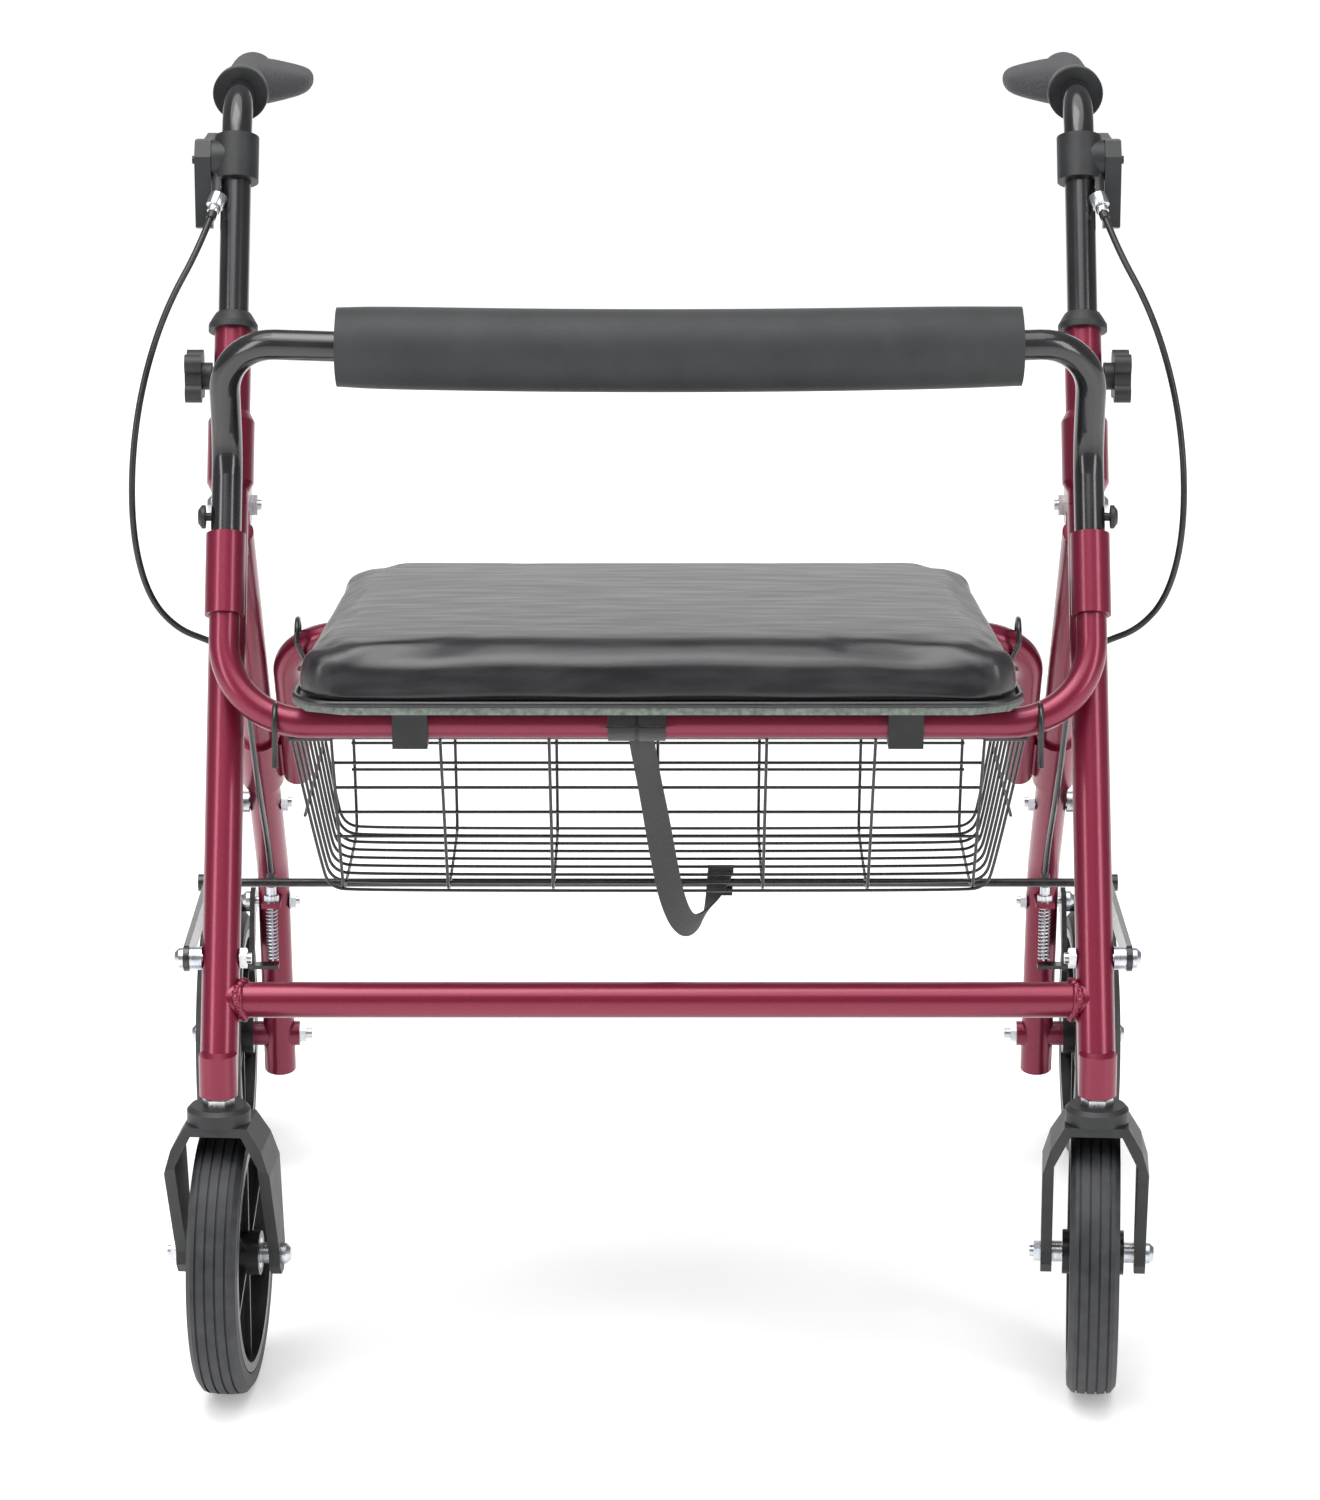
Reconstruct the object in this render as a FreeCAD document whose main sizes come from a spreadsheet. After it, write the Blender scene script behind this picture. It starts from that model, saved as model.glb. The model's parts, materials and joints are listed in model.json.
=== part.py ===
"""Four-wheeled folding walker with a seat, a basket, a foam back bar and hand brakes.

Millimetres, +Z up, the front is at -Y and the user stands at +Y.  The origin is on the
floor, under the middle of the walker.
"""
import FreeCAD, Part
import Sketcher
import math
import os
from types import SimpleNamespace

V = FreeCAD.Vector
doc = FreeCAD.newDocument("walker")

# ---------------------------------------------------------------- driving dimensions
SIZES = (
    ("leg_spacing", 620, "between the planes of the two sides"),
    ("leg_lean", 27, "degrees that the uprights lean back"),
    ("foot_height", 233, "bottom of the front legs above the floor"),
    ("upright_length", 563, "from the foot to the collar"),
    ("upright_od", 27, "uprights and front legs"),
    ("upright_wall", 2, ""),
    ("foot_length", 30, "upright stem socket at the foot"),
    ("pin_gap", 0.1, "round a turning bolt, on each side"),
    ("nut_height", 5, ""),
    ("wheelbase", 571, "from the caster stems back to the rear axle"),
    ("wheel_diameter", 203.2, "all four wheels"),
    ("tyre_width", 35, ""),
    ("tyre_depth", 19, "from the tread down to the rim"),
    ("groove_depth", 1.6, "in the tread"),
    ("groove_width", 1.6, "in the tread"),
    ("rim_wall", 4, ""),
    ("hub_od", 32, ""),
    ("hub_length", 44, ""),
    ("spoke_count", 6, "on each rim"),
    ("spoke_width", 9, ""),
    ("spoke_depth", 18, ""),
    ("bearing_od", 22, ""),
    ("bearing_width", 7, ""),
    ("axle_diameter", 8, ""),
    ("caster_trail", 40, "front axle behind the stem"),
    ("caster_turn", 4, "degrees that the casters stand turned"),
    ("stem_diameter", 12, ""),
    ("stem_length", 46, "above the fork"),
    ("fork_width", 75, "across the two blades"),
    ("fork_blade", 8, "thickness of one blade"),
    ("fork_depth", 46, "front to back at the crown"),
    ("crown_gap", 4.3, "between the tyre and the crown"),
    ("crown_height", 6.5, ""),
    ("cap_diameter", 45, "bearing cap on the fork"),
    ("cap_height", 12, ""),
    ("cross_tube_od", 25.4, ""),
    ("cross_tube_wall", 1.8, ""),
    ("cross_tube_up", 68, "along the legs from the foot"),
    ("rail_od", 22, "seat rails"),
    ("rail_wall", 1.8, ""),
    ("rail_drop", 79, "from the sockets down to the front seat rail"),
    ("rail_bend", 60, "radius of the front rail's corners"),
    ("socket_od", 28.6, "sockets of the back bar"),
    ("socket_bore", 22.8, ""),
    ("socket_forward", 28, "socket in front of the upright"),
    ("socket_low", 342, "along the upright from the foot"),
    ("socket_length", 60, ""),
    ("gusset_wall", 6, "between the socket and the upright"),
    ("bracket_od", 34, "pivot sleeve on the upright"),
    ("bracket_low", 448, "along the upright from the foot"),
    ("bracket_length", 46, ""),
    ("pivot_up", 440, "fold pivot, along the upright from the foot"),
    ("pivot_back", 30, "fold pivot behind the upright"),
    ("ear_gap", 18.6, "between the two ears"),
    ("ear_wall", 3.4, ""),
    ("ear_depth", 30, ""),
    ("leg_od", 25.4, "rear legs"),
    ("leg_wall", 1.8, ""),
    ("rear_lean", 40.8, "degrees that the rear legs reach back"),
    ("rear_bend_down", 478, "bend of the rear legs, from the fold pivot"),
    ("rear_bend", 70, "radius of that bend"),
    ("leg_end_height", 70, "bottom of the rear legs"),
    ("tongue_width", 26, "flat top of the rear legs"),
    ("tongue_wall", 18, ""),
    ("tongue_length", 46, ""),
    ("sleeve_od", 33, "sleeve on the rear legs"),
    ("sleeve_down", 290, "from the fold pivot"),
    ("sleeve_length", 58, ""),
    ("rear_rail_down", 161, "rear seat rail, from the fold pivot"),
    ("rear_rail_bend", 45, ""),
    ("rear_track", 705, "between the rear wheels"),
    ("boss_od", 20, "axle boss on the rear leg"),
    ("boss_inside", 17, "inside the plane of the side"),
    ("brake_pin_up", 222, "brake pivot above the floor"),
    ("brake_pin", 6, ""),
    ("brake_plate", 4, "thickness of the brake arm"),
    ("link_front_up", 98, "front link bolt, along the leg from the foot"),
    ("link_rear_down", 382, "rear link bolt, from the fold pivot"),
    ("knee_share", 0.456, "of the way from the front to the rear link bolt"),
    ("link_width", 19, ""),
    ("link_wall", 4, ""),
    ("link_out", 18, "rear link outside the plane of the side"),
    ("rod_diameter", 6.4, "rod across the knees of the links"),
    ("rod_length", 686, ""),
    ("bolt_diameter", 8, ""),
    ("head_diameter", 15, "bolt heads and nuts"),
    ("head_height", 6, ""),
    ("running_gap", 0.4, "between moving pieces, on each side"),
    ("collar_od", 36, "at the top of the uprights"),
    ("collar_height", 13, ""),
    ("handle_od", 22.2, ""),
    ("handle_wall", 1.6, ""),
    ("handle_inside", 130, "held in the upright"),
    ("handle_rise", 180, "from the collar to the corner"),
    ("handle_bend", 48, "radius of the handle's corner"),
    ("handle_reach", 152, "from the corner back to the end"),
    ("grip_length", 128, ""),
    ("grip_od", 34, ""),
    ("grip_gap", 0.1, "between the grip and its tube"),
    ("grip_ring_od", 40, "clamp ring at the front of the grip"),
    ("grip_ring_length", 14, ""),
    ("palm_reach", 46, "palm rest towards the inside"),
    ("palm_height", 15, ""),
    ("clamp_od", 33, "brake clamp round the handle"),
    ("clamp_up", 132, "from the collar to the clamp's middle"),
    ("clamp_length", 34, ""),
    ("drum_od", 30, "brake lever's pivot drum"),
    ("drum_width", 10, ""),
    ("lever_width", 12, ""),
    ("lever_length", 118, "behind the pivot"),
    ("lever_drop", 48, "below the pivot"),
    ("lever_pin", 6, ""),
    ("knob_up", 529, "height knob, along the upright from the foot"),
    ("knob_od", 44, ""),
    ("knob_height", 12, ""),
    ("knob_screw", 8, ""),
    ("knob_boss", 20, ""),
    ("knob_stand_off", 8, "from the upright to the knob"),
    ("back_rise", 122, "straight tube above the socket's foot"),
    ("back_height", 742, "back bar above the floor"),
    ("back_forward", 24, "corner of the back bar in front of its bend"),
    ("back_bow", 33, "middle of the back bar in front of its corners"),
    ("foam_od", 58, ""),
    ("foam_length", 484, ""),
    ("foam_shift", 15, "towards the right"),
    ("button_od", 17, ""),
    ("button_head", 5, ""),
    ("button_stem", 6, ""),
    ("button_up", 73, "along the back tube from the socket's foot"),
    ("seat_top", 545, "above the floor"),
    ("seat_pad_height", 36, ""),
    ("seat_board_height", 6, ""),
    ("seat_front_width", 521, ""),
    ("seat_back_width", 491, ""),
    ("seat_depth", 322, ""),
    ("seat_forward", 74, "front edge in front of the front rail"),
    ("clip_width", 25, ""),
    ("clip_wall", 4, ""),
    ("clip_spacing", 352, "between the two seat clips"),
    ("basket_top_width", 532, ""),
    ("basket_floor_width", 488, ""),
    ("basket_depth", 236, "at the top"),
    ("basket_height", 136, ""),
    ("basket_floor_forward", 63, "floor behind the top at the front"),
    ("basket_floor_back", 6, "floor behind the top at the back"),
    ("basket_wall", 2.4, ""),
    ("basket_drop", 14, "top edge below the middle of the rail"),
    ("basket_back_gap", 17, "behind the middle of the front rail"),
    ("strap_width", 20, ""),
    ("strap_wall", 2, ""),
    ("cable_diameter", 5, ""),
    ("spring_od", 10, "brake return springs"),
    ("spring_wall", 1.4, ""),
    ("spring_length", 46, ""),
    ("bracket_up", 226, "brake bracket above the floor"),
    ("adjuster_diameter", 8, ""),
    ("adjuster_length", 16, ""),
    ("spring_gap", 12, "between the spring and the rear leg"),
    ("shoe_diameter", 14, ""),
    ("shoe_gap", 2, "between the shoe and the tyre"),
)

sheet = doc.addObject("Spreadsheet::Sheet", "Sizes")
for row, (alias, number, note) in enumerate(SIZES, start=1):
    sheet.set(f"A{row}", alias)
    sheet.set(f"B{row}", str(number))
    sheet.setAlias(f"B{row}", alias)
    sheet.set(f"C{row}", note)
doc.recompute()
size = SimpleNamespace(**{alias: float(sheet.get(alias)) for alias, _, _ in SIZES})

SIDES = (("left", -1), ("right", 1))
nodes = {}


# ---------------------------------------------------------------- ways to make a piece
def cell(expression):
    """An expression in which each alias is read from the sheet."""
    words = expression.replace("(", " ( ").replace(")", " ) ").split()
    return " ".join(f"Sizes.{word}" if hasattr(size, word) else word for word in words)


def fresh(kind, name):
    piece = doc.addObject(kind, name)
    piece.Label = name
    return piece


def bind(piece, **expressions):
    for prop, expression in expressions.items():
        piece.setExpression(prop, cell(expression))
    return piece


def facing(at, along):
    return FreeCAD.Placement(V(*at), FreeCAD.Rotation(V(0, 0, 1), V(*along)))


def cylinder(name, diameter, length, at, along=(0, 0, 1)):
    """A round bar from the point `at`, in the direction `along`."""
    piece = bind(fresh("Part::Cylinder", name), Radius=f"( {diameter} ) / 2", Height=length)
    piece.Placement = facing(at, along)
    return piece


def box(name, length, width, height, middle, turn=None):
    """A block about its middle; `turn` is its rotation."""
    piece = bind(fresh("Part::Box", name), Length=length, Width=width, Height=height)
    doc.recompute()
    half = V(piece.Length.Value / 2, piece.Width.Value / 2, piece.Height.Value / 2)
    rotation = turn or FreeCAD.Rotation()
    piece.Placement = FreeCAD.Placement(V(*middle) - rotation.multVec(half), rotation)
    return piece


def cut(name, base, *tools):
    tool = tools[0] if len(tools) == 1 else fuse(name + "_cutters", *tools)
    piece = fresh("Part::Cut", name)
    piece.Base, piece.Tool = base, tool
    return piece


def fuse(name, *pieces):
    piece = fresh("Part::MultiFuse", name)
    piece.Shapes = list(pieces)
    return piece


def group(name, *pieces):
    """Separate solids that share one node."""
    piece = fresh("Part::Compound", name)
    piece.Links = list(pieces)
    return piece


def outline_body(name, plane, corners):
    """A body with one sketch, each corner of which is held by two bound distances."""
    body = fresh("PartDesign::Body", name)
    sketch = body.newObject("Sketcher::SketchObject", name + "_sketch")
    flat = next(f for f in body.Origin.OriginFeatures if f.Role == plane)
    sketch.AttachmentSupport = [(flat, "")]
    sketch.MapMode = "FlatFace"
    rough = [V(*(sheet_value(part) for part in corner), 0) for corner in corners]
    for i, start in enumerate(rough):
        sketch.addGeometry(Part.LineSegment(start, rough[(i + 1) % len(rough)]))
    for i, corner in enumerate(corners):
        sketch.addConstraint(Sketcher.Constraint("Coincident", i, 2, (i + 1) % len(corners), 1))
    for i, corner in enumerate(corners):
        for kind, part in zip(("DistanceX", "DistanceY"), corner):
            number = sketch.addConstraint(Sketcher.Constraint(kind, -1, 1, i, 1, sheet_value(part)))
            sketch.setExpression(f"Constraints[{number}]", cell(str(part)))
    return body, sketch


def sheet_value(expression):
    """The present value of an expression over the sheet."""
    probe = doc.getObject("Probe") or doc.addObject("Part::Box", "Probe")
    probe.setExpression("Placement.Base.x", cell(f"( {expression} ) * 1"))
    probe.recompute()
    return probe.Placement.Base.x


def turned(name, corners):
    """A body of revolution about its own Z axis; corners are (radius, height)."""
    body, sketch = outline_body(name, "XZ_Plane", corners)
    spin = body.newObject("PartDesign::Revolution", name + "_turning")
    spin.Profile = sketch
    spin.ReferenceAxis = (sketch, ["V_Axis"])
    spin.Angle = 360
    return body


def plate(name, plane, corners, thickness):
    """A plate with the given outline, half its thickness on each side of the plane."""
    body, sketch = outline_body(name, plane, corners)
    pad = body.newObject("PartDesign::Pad", name + "_pad")
    pad.Profile = sketch
    pad.Midplane = True
    pad.setExpression("Length", cell(thickness))
    return body


def bent(points, radii):
    """A wire through the points with an arc of the given radius at each inner point."""
    corners = [V(*p) for p in points]
    edges = []
    last = corners[0]
    for here, before, after, radius in zip(corners[1:], corners, corners[2:], radii):
        back = (before - here).normalize()
        on = (after - here).normalize()
        half_turn = (math.pi - back.getAngle(on)) / 2
        reach = radius * math.tan(half_turn)
        middle_way = (back + on).normalize()
        centre = here + middle_way * (radius / math.cos(half_turn))
        start, end = here + back * reach, here + on * reach
        middle = centre - middle_way * radius
        edges.append(Part.LineSegment(last, start).toShape())
        edges.append(Part.Arc(start, middle, end).toShape())
        last = end
    edges.append(Part.LineSegment(last, corners[-1]).toShape())
    return Part.Wire(edges)


def swept(name, wire, diameter):
    """A round bar along the wire."""
    path = fresh("Part::Feature", name + "_path")
    path.Shape = wire
    ring = bind(fresh("Part::Circle", name + "_ring"), Radius=f"( {diameter} ) / 2")
    first = wire.OrderedEdges[0]
    ring.Placement = facing(first.firstVertex(True).Point, first.tangentAt(first.FirstParameter))
    sweep = fresh("Part::Sweep", name)
    sweep.Sections = [ring]
    sweep.Spine = (path, [f"Edge{i + 1}" for i in range(len(wire.Edges))])
    sweep.Solid = True
    sweep.Frenet = False
    return sweep


def tube(name, points, radii, diameter, wall):
    wire = bent(points, radii)
    outer = swept(name + "_outside", wire, diameter)
    inner = swept(name + "_inside", wire, f"{diameter} - 2 * {wall}")
    return cut(name, outer, inner)


def keep(piece, name):
    """Marks a piece as a finished node."""
    piece.Label = name
    nodes[name] = piece
    return piece


# ---------------------------------------------------------------- places
half = size.leg_spacing / 2
radius = size.wheel_diameter / 2
lean = math.radians(size.leg_lean)
reach = math.radians(size.rear_lean)
stem_y = -(size.wheelbase + size.caster_trail) / 2   # caster stems
axle_y = stem_y + size.wheelbase                     # rear axle


def up_leg(distance, forward=0.0):
    """(y, z) at a distance along the upright from its foot, and in front of its line."""
    return (stem_y + distance * math.sin(lean) - forward * math.cos(lean),
            size.foot_height + distance * math.cos(lean) + forward * math.sin(lean))


pivot = up_leg(size.pivot_up, -size.pivot_back)
knee_bend = (pivot[0] + size.rear_bend_down * math.sin(reach),
             pivot[1] - size.rear_bend_down * math.cos(reach))
shin = V(0, axle_y - knee_bend[0], radius - knee_bend[1]).normalize()


def down_leg(distance):
    """(y, z) on the straight upper part of the rear leg, from the fold pivot."""
    return (pivot[0] + distance * math.sin(reach), pivot[1] - distance * math.cos(reach))


leg_way = (0, math.sin(lean), math.cos(lean))
rear_way = (0, math.sin(reach), -math.cos(reach))
leg_turn = FreeCAD.Rotation(V(1, 0, 0), -size.leg_lean)
rear_turn = FreeCAD.Rotation(V(1, 0, 0), size.rear_lean)
front_bolt = up_leg(size.link_front_up)
rear_bolt = down_leg(size.link_rear_down)
knee = tuple(a + size.knee_share * (b - a) for a, b in zip(front_bolt, rear_bolt))
rail = up_leg(size.socket_low - size.rail_drop, size.socket_forward)
rear_rail = down_leg(size.rear_rail_down)
crown_top = size.wheel_diameter + size.crown_gap + size.crown_height


def on_shin(height):
    """y of the lower part of the rear leg at a height above the floor."""
    return axle_y + (height - radius) * shin.y / shin.z


spring_y = on_shin(size.bracket_up) - size.leg_od / 2 - size.spring_od / 2 - size.spring_gap
brake_pin = (on_shin(size.brake_pin_up), size.brake_pin_up)


# ---------------------------------------------------------------- shared shapes
def cross_bar(name, diameter, length, inner, y, z, sign):
    """A round bar along X that starts `inner` from the middle plane."""
    return cylinder(name, diameter, length, (sign * inner, y, z), (sign, 0, 0))


def bolt(name, inner, outer, place, sign, diameter="bolt_diameter"):
    """A bolt along X with a domed head on its outer end."""
    shank = cross_bar(name + "_shank", diameter, str(outer - inner), inner, *place, sign)
    head = turned(name + "_head", [
        ("0", "0"), ("head_diameter / 2", "0"), ("head_diameter / 2", "head_height * 0.5"),
        ("head_diameter * 0.3", "head_height"), ("0", "head_height")])
    head.Placement = facing((sign * outer, *place), (sign, 0, 0))
    return fuse(name, shank, head)


def nut(name, inner, place, sign, diameter="bolt_diameter"):
    """A hexagon nut that starts `inner` from the middle plane."""
    block = bind(fresh("Part::Prism", name + "_block"), Circumradius="head_diameter / 2", Height="nut_height")
    block.Polygon = 6
    block.Placement = facing((sign * inner, *place), (sign, 0, 0))
    hole = cross_bar(name + "_hole", diameter, "nut_height", inner, *place, sign)
    return cut(name, block, hole)


def washer(name, inner, outer, place, sign, diameter, bore):
    """A spacer ring between two distances from the middle plane."""
    length = str(outer - inner)
    block = cross_bar(name + "_block", diameter, length, inner, *place, sign)
    hole = cross_bar(name + "_hole", bore, length, inner, *place, sign)
    return cut(name, block, hole)


def straight_bar(name, diameter, length, place, way, x):
    return cylinder(name, diameter, length, (x, *place), way)


# ---------------------------------------------------------------- front frame
def make_upright(side, sign):
    """Front leg and upright in one, with its sockets, pivot sleeve and ears."""
    x = sign * half
    name = side + "_upright"
    socket_foot = up_leg(size.socket_low, size.socket_forward)
    shell = [
        straight_bar(name + "_tube", "upright_od", "upright_length", up_leg(0), leg_way, x),
        cylinder(name + "_foot", "upright_od", "foot_length", (x, stem_y, size.foot_height)),
        straight_bar(name + "_socket", "socket_od", "socket_length", socket_foot, leg_way, x),
        straight_bar(name + "_sleeve", "bracket_od", "bracket_length", up_leg(size.bracket_low), leg_way, x),
        box(name + "_gusset", "gusset_wall", "socket_forward", "socket_length * 0.86",
            (x, *up_leg(size.socket_low + size.socket_length / 2, size.socket_forward / 2)), leg_turn),
    ]
    for end, up, way in (("top", size.bracket_low + size.bracket_length, 1),
                         ("bottom", size.bracket_low, -1)):
        cone = bind(fresh("Part::Cone", f"{name}_{end}_shoulder"), Radius1="bracket_od / 2",
                    Radius2="upright_od / 2", Height="bracket_od / 5")
        cone.Placement = facing((x, *up_leg(up)), tuple(way * part for part in leg_way))
        shell.append(cone)
    for face, way in (("outer", 1), ("inner", -1)):
        away = half + way * (size.ear_gap + size.ear_wall) / 2
        middle = up_leg(size.pivot_up + size.ear_depth / 2, -size.pivot_back / 2)
        shell.append(box(f"{name}_{face}_ear", "ear_wall", "pivot_back + ear_depth / 2", "ear_depth * 1.6",
                         (sign * away, *middle), leg_turn))
        shell.append(cross_bar(f"{name}_{face}_ear_end", "ear_depth", "ear_wall",
                               away - size.ear_wall / 2, *pivot, sign))
    below = box(name + "_below_foot", "upright_od * 2", "upright_od * 2", "upright_od",
                (x, stem_y, size.foot_height - size.upright_od / 2))
    hollow = [
        below,
        straight_bar(name + "_bore", "upright_od - 2 * upright_wall", "upright_length",
                     up_leg(size.foot_length * 1.5), leg_way, x),
        straight_bar(name + "_socket_bore", "socket_bore", "socket_length", socket_foot, leg_way, x),
        cylinder(name + "_stem_hole", "stem_diameter + 2 * running_gap", "foot_length",
                 (x, stem_y, size.foot_height - 1)),
        cross_bar(name + "_pivot_hole", "bolt_diameter", "ear_gap * 3", half - 1.5 * size.ear_gap, *pivot,
                  sign),
        cross_bar(name + "_link_hole", "bolt_diameter", "upright_od * 2", half - size.upright_od,
                  *front_bolt, sign),
        cross_bar(name + "_knob_hole", "knob_screw + 2 * running_gap", "upright_od", half,
                  *up_leg(size.knob_up), sign),
    ]
    keep(cut(name, fuse(name + "_shell", *shell), *hollow), name)


def make_cross_tube():
    place = up_leg(size.cross_tube_up)
    whole = cylinder("cross_tube_outside", "cross_tube_od", "leg_spacing", (-half, *place), (1, 0, 0))
    beads = []
    for side, sign in SIDES:
        bead = bind(fresh("Part::Torus", side + "_bead"), Radius1="cross_tube_od / 2", Radius2="2.2")
        bead.Placement = facing((sign * (half - size.upright_od / 2 - 1), *place), (1, 0, 0))
        beads.append(bead)
    legs = [straight_bar(f"cross_tube_{side}_mouth", "upright_od", "upright_length", up_leg(0), leg_way,
                         sign * half) for side, sign in SIDES]
    bore = cylinder("cross_tube_bore", "cross_tube_od - 2 * cross_tube_wall", "leg_spacing",
                    (-half, *place), (1, 0, 0))
    keep(cut("cross_tube", fuse("cross_tube_shell", whole, *beads), bore, *legs), "cross_tube")


def make_front_rail():
    foot = up_leg(size.socket_low, size.socket_forward)
    points = [(-half, *foot), (-half, *rail), (half, *rail), (half, *foot)]
    keep(tube("front_seat_rail", points, [size.rail_bend] * 2, "rail_od", "rail_wall"), "front_seat_rail")


def make_collars():
    rings = []
    for side, sign in SIDES:
        ring = turned(side + "_collar", [
            ("handle_od / 2 + running_gap", "0"), ("collar_od / 2", "0"),
            ("collar_od / 2", "collar_height * 0.35"),
            ("collar_od * 0.42", "collar_height * 0.75"), ("handle_od / 2 + 2", "collar_height"),
            ("handle_od / 2 + running_gap", "collar_height")])
        ring.Placement = facing((sign * half, *up_leg(size.upright_length)), leg_way)
        rings.append(ring)
    keep(group("upright_collars", *rings), "upright_collars")


def make_frame_fasteners():
    bolts, nuts = [], []
    ear_face = size.ear_gap / 2 + size.ear_wall
    link_face = half + size.link_out + 2 * size.link_wall + 2 * size.running_gap
    leg_face = size.upright_od / 2
    for side, sign in SIDES:
        inner = half - ear_face - size.nut_height - 3
        bolts.append(bolt(side + "_fold_bolt", inner, half + ear_face, pivot, sign))
        nuts.append(nut(side + "_fold_nut", half - ear_face - size.nut_height, pivot, sign))
        inner = half - leg_face - size.nut_height - 3
        bolts.append(bolt(side + "_link_bolt", inner, link_face, front_bolt, sign))
        nuts.append(nut(side + "_link_nut", half - leg_face - size.nut_height, front_bolt, sign))
        nuts.append(washer(side + "_link_spacer", half + leg_face,
                           half + size.link_out + size.link_wall, front_bolt, sign,
                           "head_diameter * 1.1", "bolt_diameter"))
    keep(group("frame_bolts", *bolts), "frame_bolts")
    keep(group("frame_nuts", *nuts), "frame_nuts")


# ---------------------------------------------------------------- rear frame
def leg_end():
    return (on_shin(size.leg_end_height), size.leg_end_height)


def make_rear_leg(side, sign):
    """Bent rear leg with a flat tongue at the fold pivot, a sleeve, a brake bracket and an axle boss."""
    x = sign * half
    name = side + "_rear_leg"
    wire = bent([(x, *down_leg(size.tongue_length * 0.7)), (x, *knee_bend), (x, *leg_end())],
                [size.rear_bend])
    boss_length = size.rear_track / 2 - size.hub_length / 2 - half + size.boss_inside
    bracket_depth = on_shin(size.bracket_up) - spring_y + size.spring_od
    shell = [
        swept(name + "_outside", wire, "leg_od"),
        straight_bar(name + "_sleeve", "sleeve_od", "sleeve_length", down_leg(size.sleeve_down), rear_way, x),
        box(name + "_tongue", "tongue_wall", "tongue_width", "tongue_length",
            (x, *down_leg(size.tongue_length / 2)), rear_turn),
        cross_bar(name + "_tongue_end", "tongue_width", "tongue_wall", half - size.tongue_wall / 2, *pivot,
                  sign),
        cross_bar(name + "_boss", "boss_od", str(boss_length), half - size.boss_inside, axle_y, radius, sign),
        box(name + "_bracket", "spring_od * 1.5", str(bracket_depth), "4",
            (x, on_shin(size.bracket_up) - bracket_depth / 2, size.bracket_up + 2)),
    ]
    shell = fuse(name + "_shell", *shell)
    hollow = [
        swept(name + "_inside", bent([(x, *down_leg(size.tongue_length)), (x, *knee_bend), (x, *leg_end())],
                                     [size.rear_bend]), "leg_od - 2 * leg_wall"),
        cross_bar(name + "_pivot_hole", "bolt_diameter + 2 * pin_gap", "leg_od * 2", half - size.leg_od,
                  *pivot, sign),
        cross_bar(name + "_link_hole", "bolt_diameter", "leg_od * 2", half - size.leg_od, *rear_bolt, sign),
        cross_bar(name + "_brake_hole", "brake_pin", "leg_od * 2", half - size.leg_od, *brake_pin, sign),
        cross_bar(name + "_axle_hole", "axle_diameter", "leg_od * 4", half - 2 * size.leg_od, axle_y, radius,
                  sign),
        cylinder(name + "_adjuster_hole", "adjuster_diameter", "6", (x, spring_y, size.bracket_up - 1)),
    ]
    keep(cut(name, shell, *hollow), name)


def make_rear_rail():
    """Rear seat rail: a U whose arms lie inside the rear legs and are welded to their sleeves."""
    arm = half - size.sleeve_od / 2 - size.rail_od / 2
    low = down_leg(size.sleeve_down + size.sleeve_length * 0.9)
    points = [(-arm, *low), (-arm, *rear_rail), (arm, *rear_rail), (arm, *low)]
    wire = bent(points, [size.rear_rail_bend] * 2)
    shell = [swept("rear_rail_outside", wire, "rail_od")]
    trims = [swept("rear_rail_inside", wire, "rail_od - 2 * rail_wall")]
    for side, sign in SIDES:
        middle = down_leg(size.sleeve_down + size.sleeve_length / 2)
        shell.append(box(side + "_weld", "rail_od", "8", "sleeve_length * 0.7",
                         (sign * (half - size.sleeve_od / 2), *middle), rear_turn))
        trims.append(straight_bar(side + "_weld_trim", "sleeve_od", "sleeve_length * 2",
                                  down_leg(size.sleeve_down - size.sleeve_length / 2), rear_way, sign * half))
    keep(cut("rear_seat_rail", fuse("rear_rail_shell", *shell), *trims), "rear_seat_rail")


def make_rear_fasteners():
    bolts, nuts = [], []
    leg_face = size.leg_od / 2
    hub_face = size.rear_track / 2 + size.hub_length / 2
    arm_face = half + size.link_out - 3 + size.brake_plate + size.running_gap
    link_face = half + size.link_out + size.link_wall + size.running_gap
    for side, sign in SIDES:
        inner = half - leg_face - size.nut_height - 3
        bolts.append(bolt(side + "_rear_link_bolt", inner, link_face, rear_bolt, sign))
        nuts.append(nut(side + "_rear_link_nut", half - leg_face - size.nut_height, rear_bolt, sign))
        nuts.append(washer(side + "_rear_link_spacer", half + leg_face,
                           half + size.link_out - size.running_gap,
                           rear_bolt, sign, "head_diameter * 1.1", "bolt_diameter"))
        bolts.append(bolt(side + "_brake_bolt", inner, arm_face, brake_pin, sign, "brake_pin"))
        nuts.append(nut(side + "_brake_nut", half - leg_face - size.nut_height, brake_pin, sign, "brake_pin"))
        axle = (axle_y, radius)
        inner = half - size.boss_inside - size.nut_height - 5
        bolts.append(bolt(side + "_rear_axle", inner, hub_face + 0.5, axle, sign, "axle_diameter"))
        nuts.append(nut(side + "_rear_axle_nut", half - size.boss_inside - size.nut_height, axle, sign,
                        "axle_diameter"))
    keep(group("rear_bolts", *bolts), "rear_bolts")
    keep(group("rear_nuts", *nuts), "rear_nuts")


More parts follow.
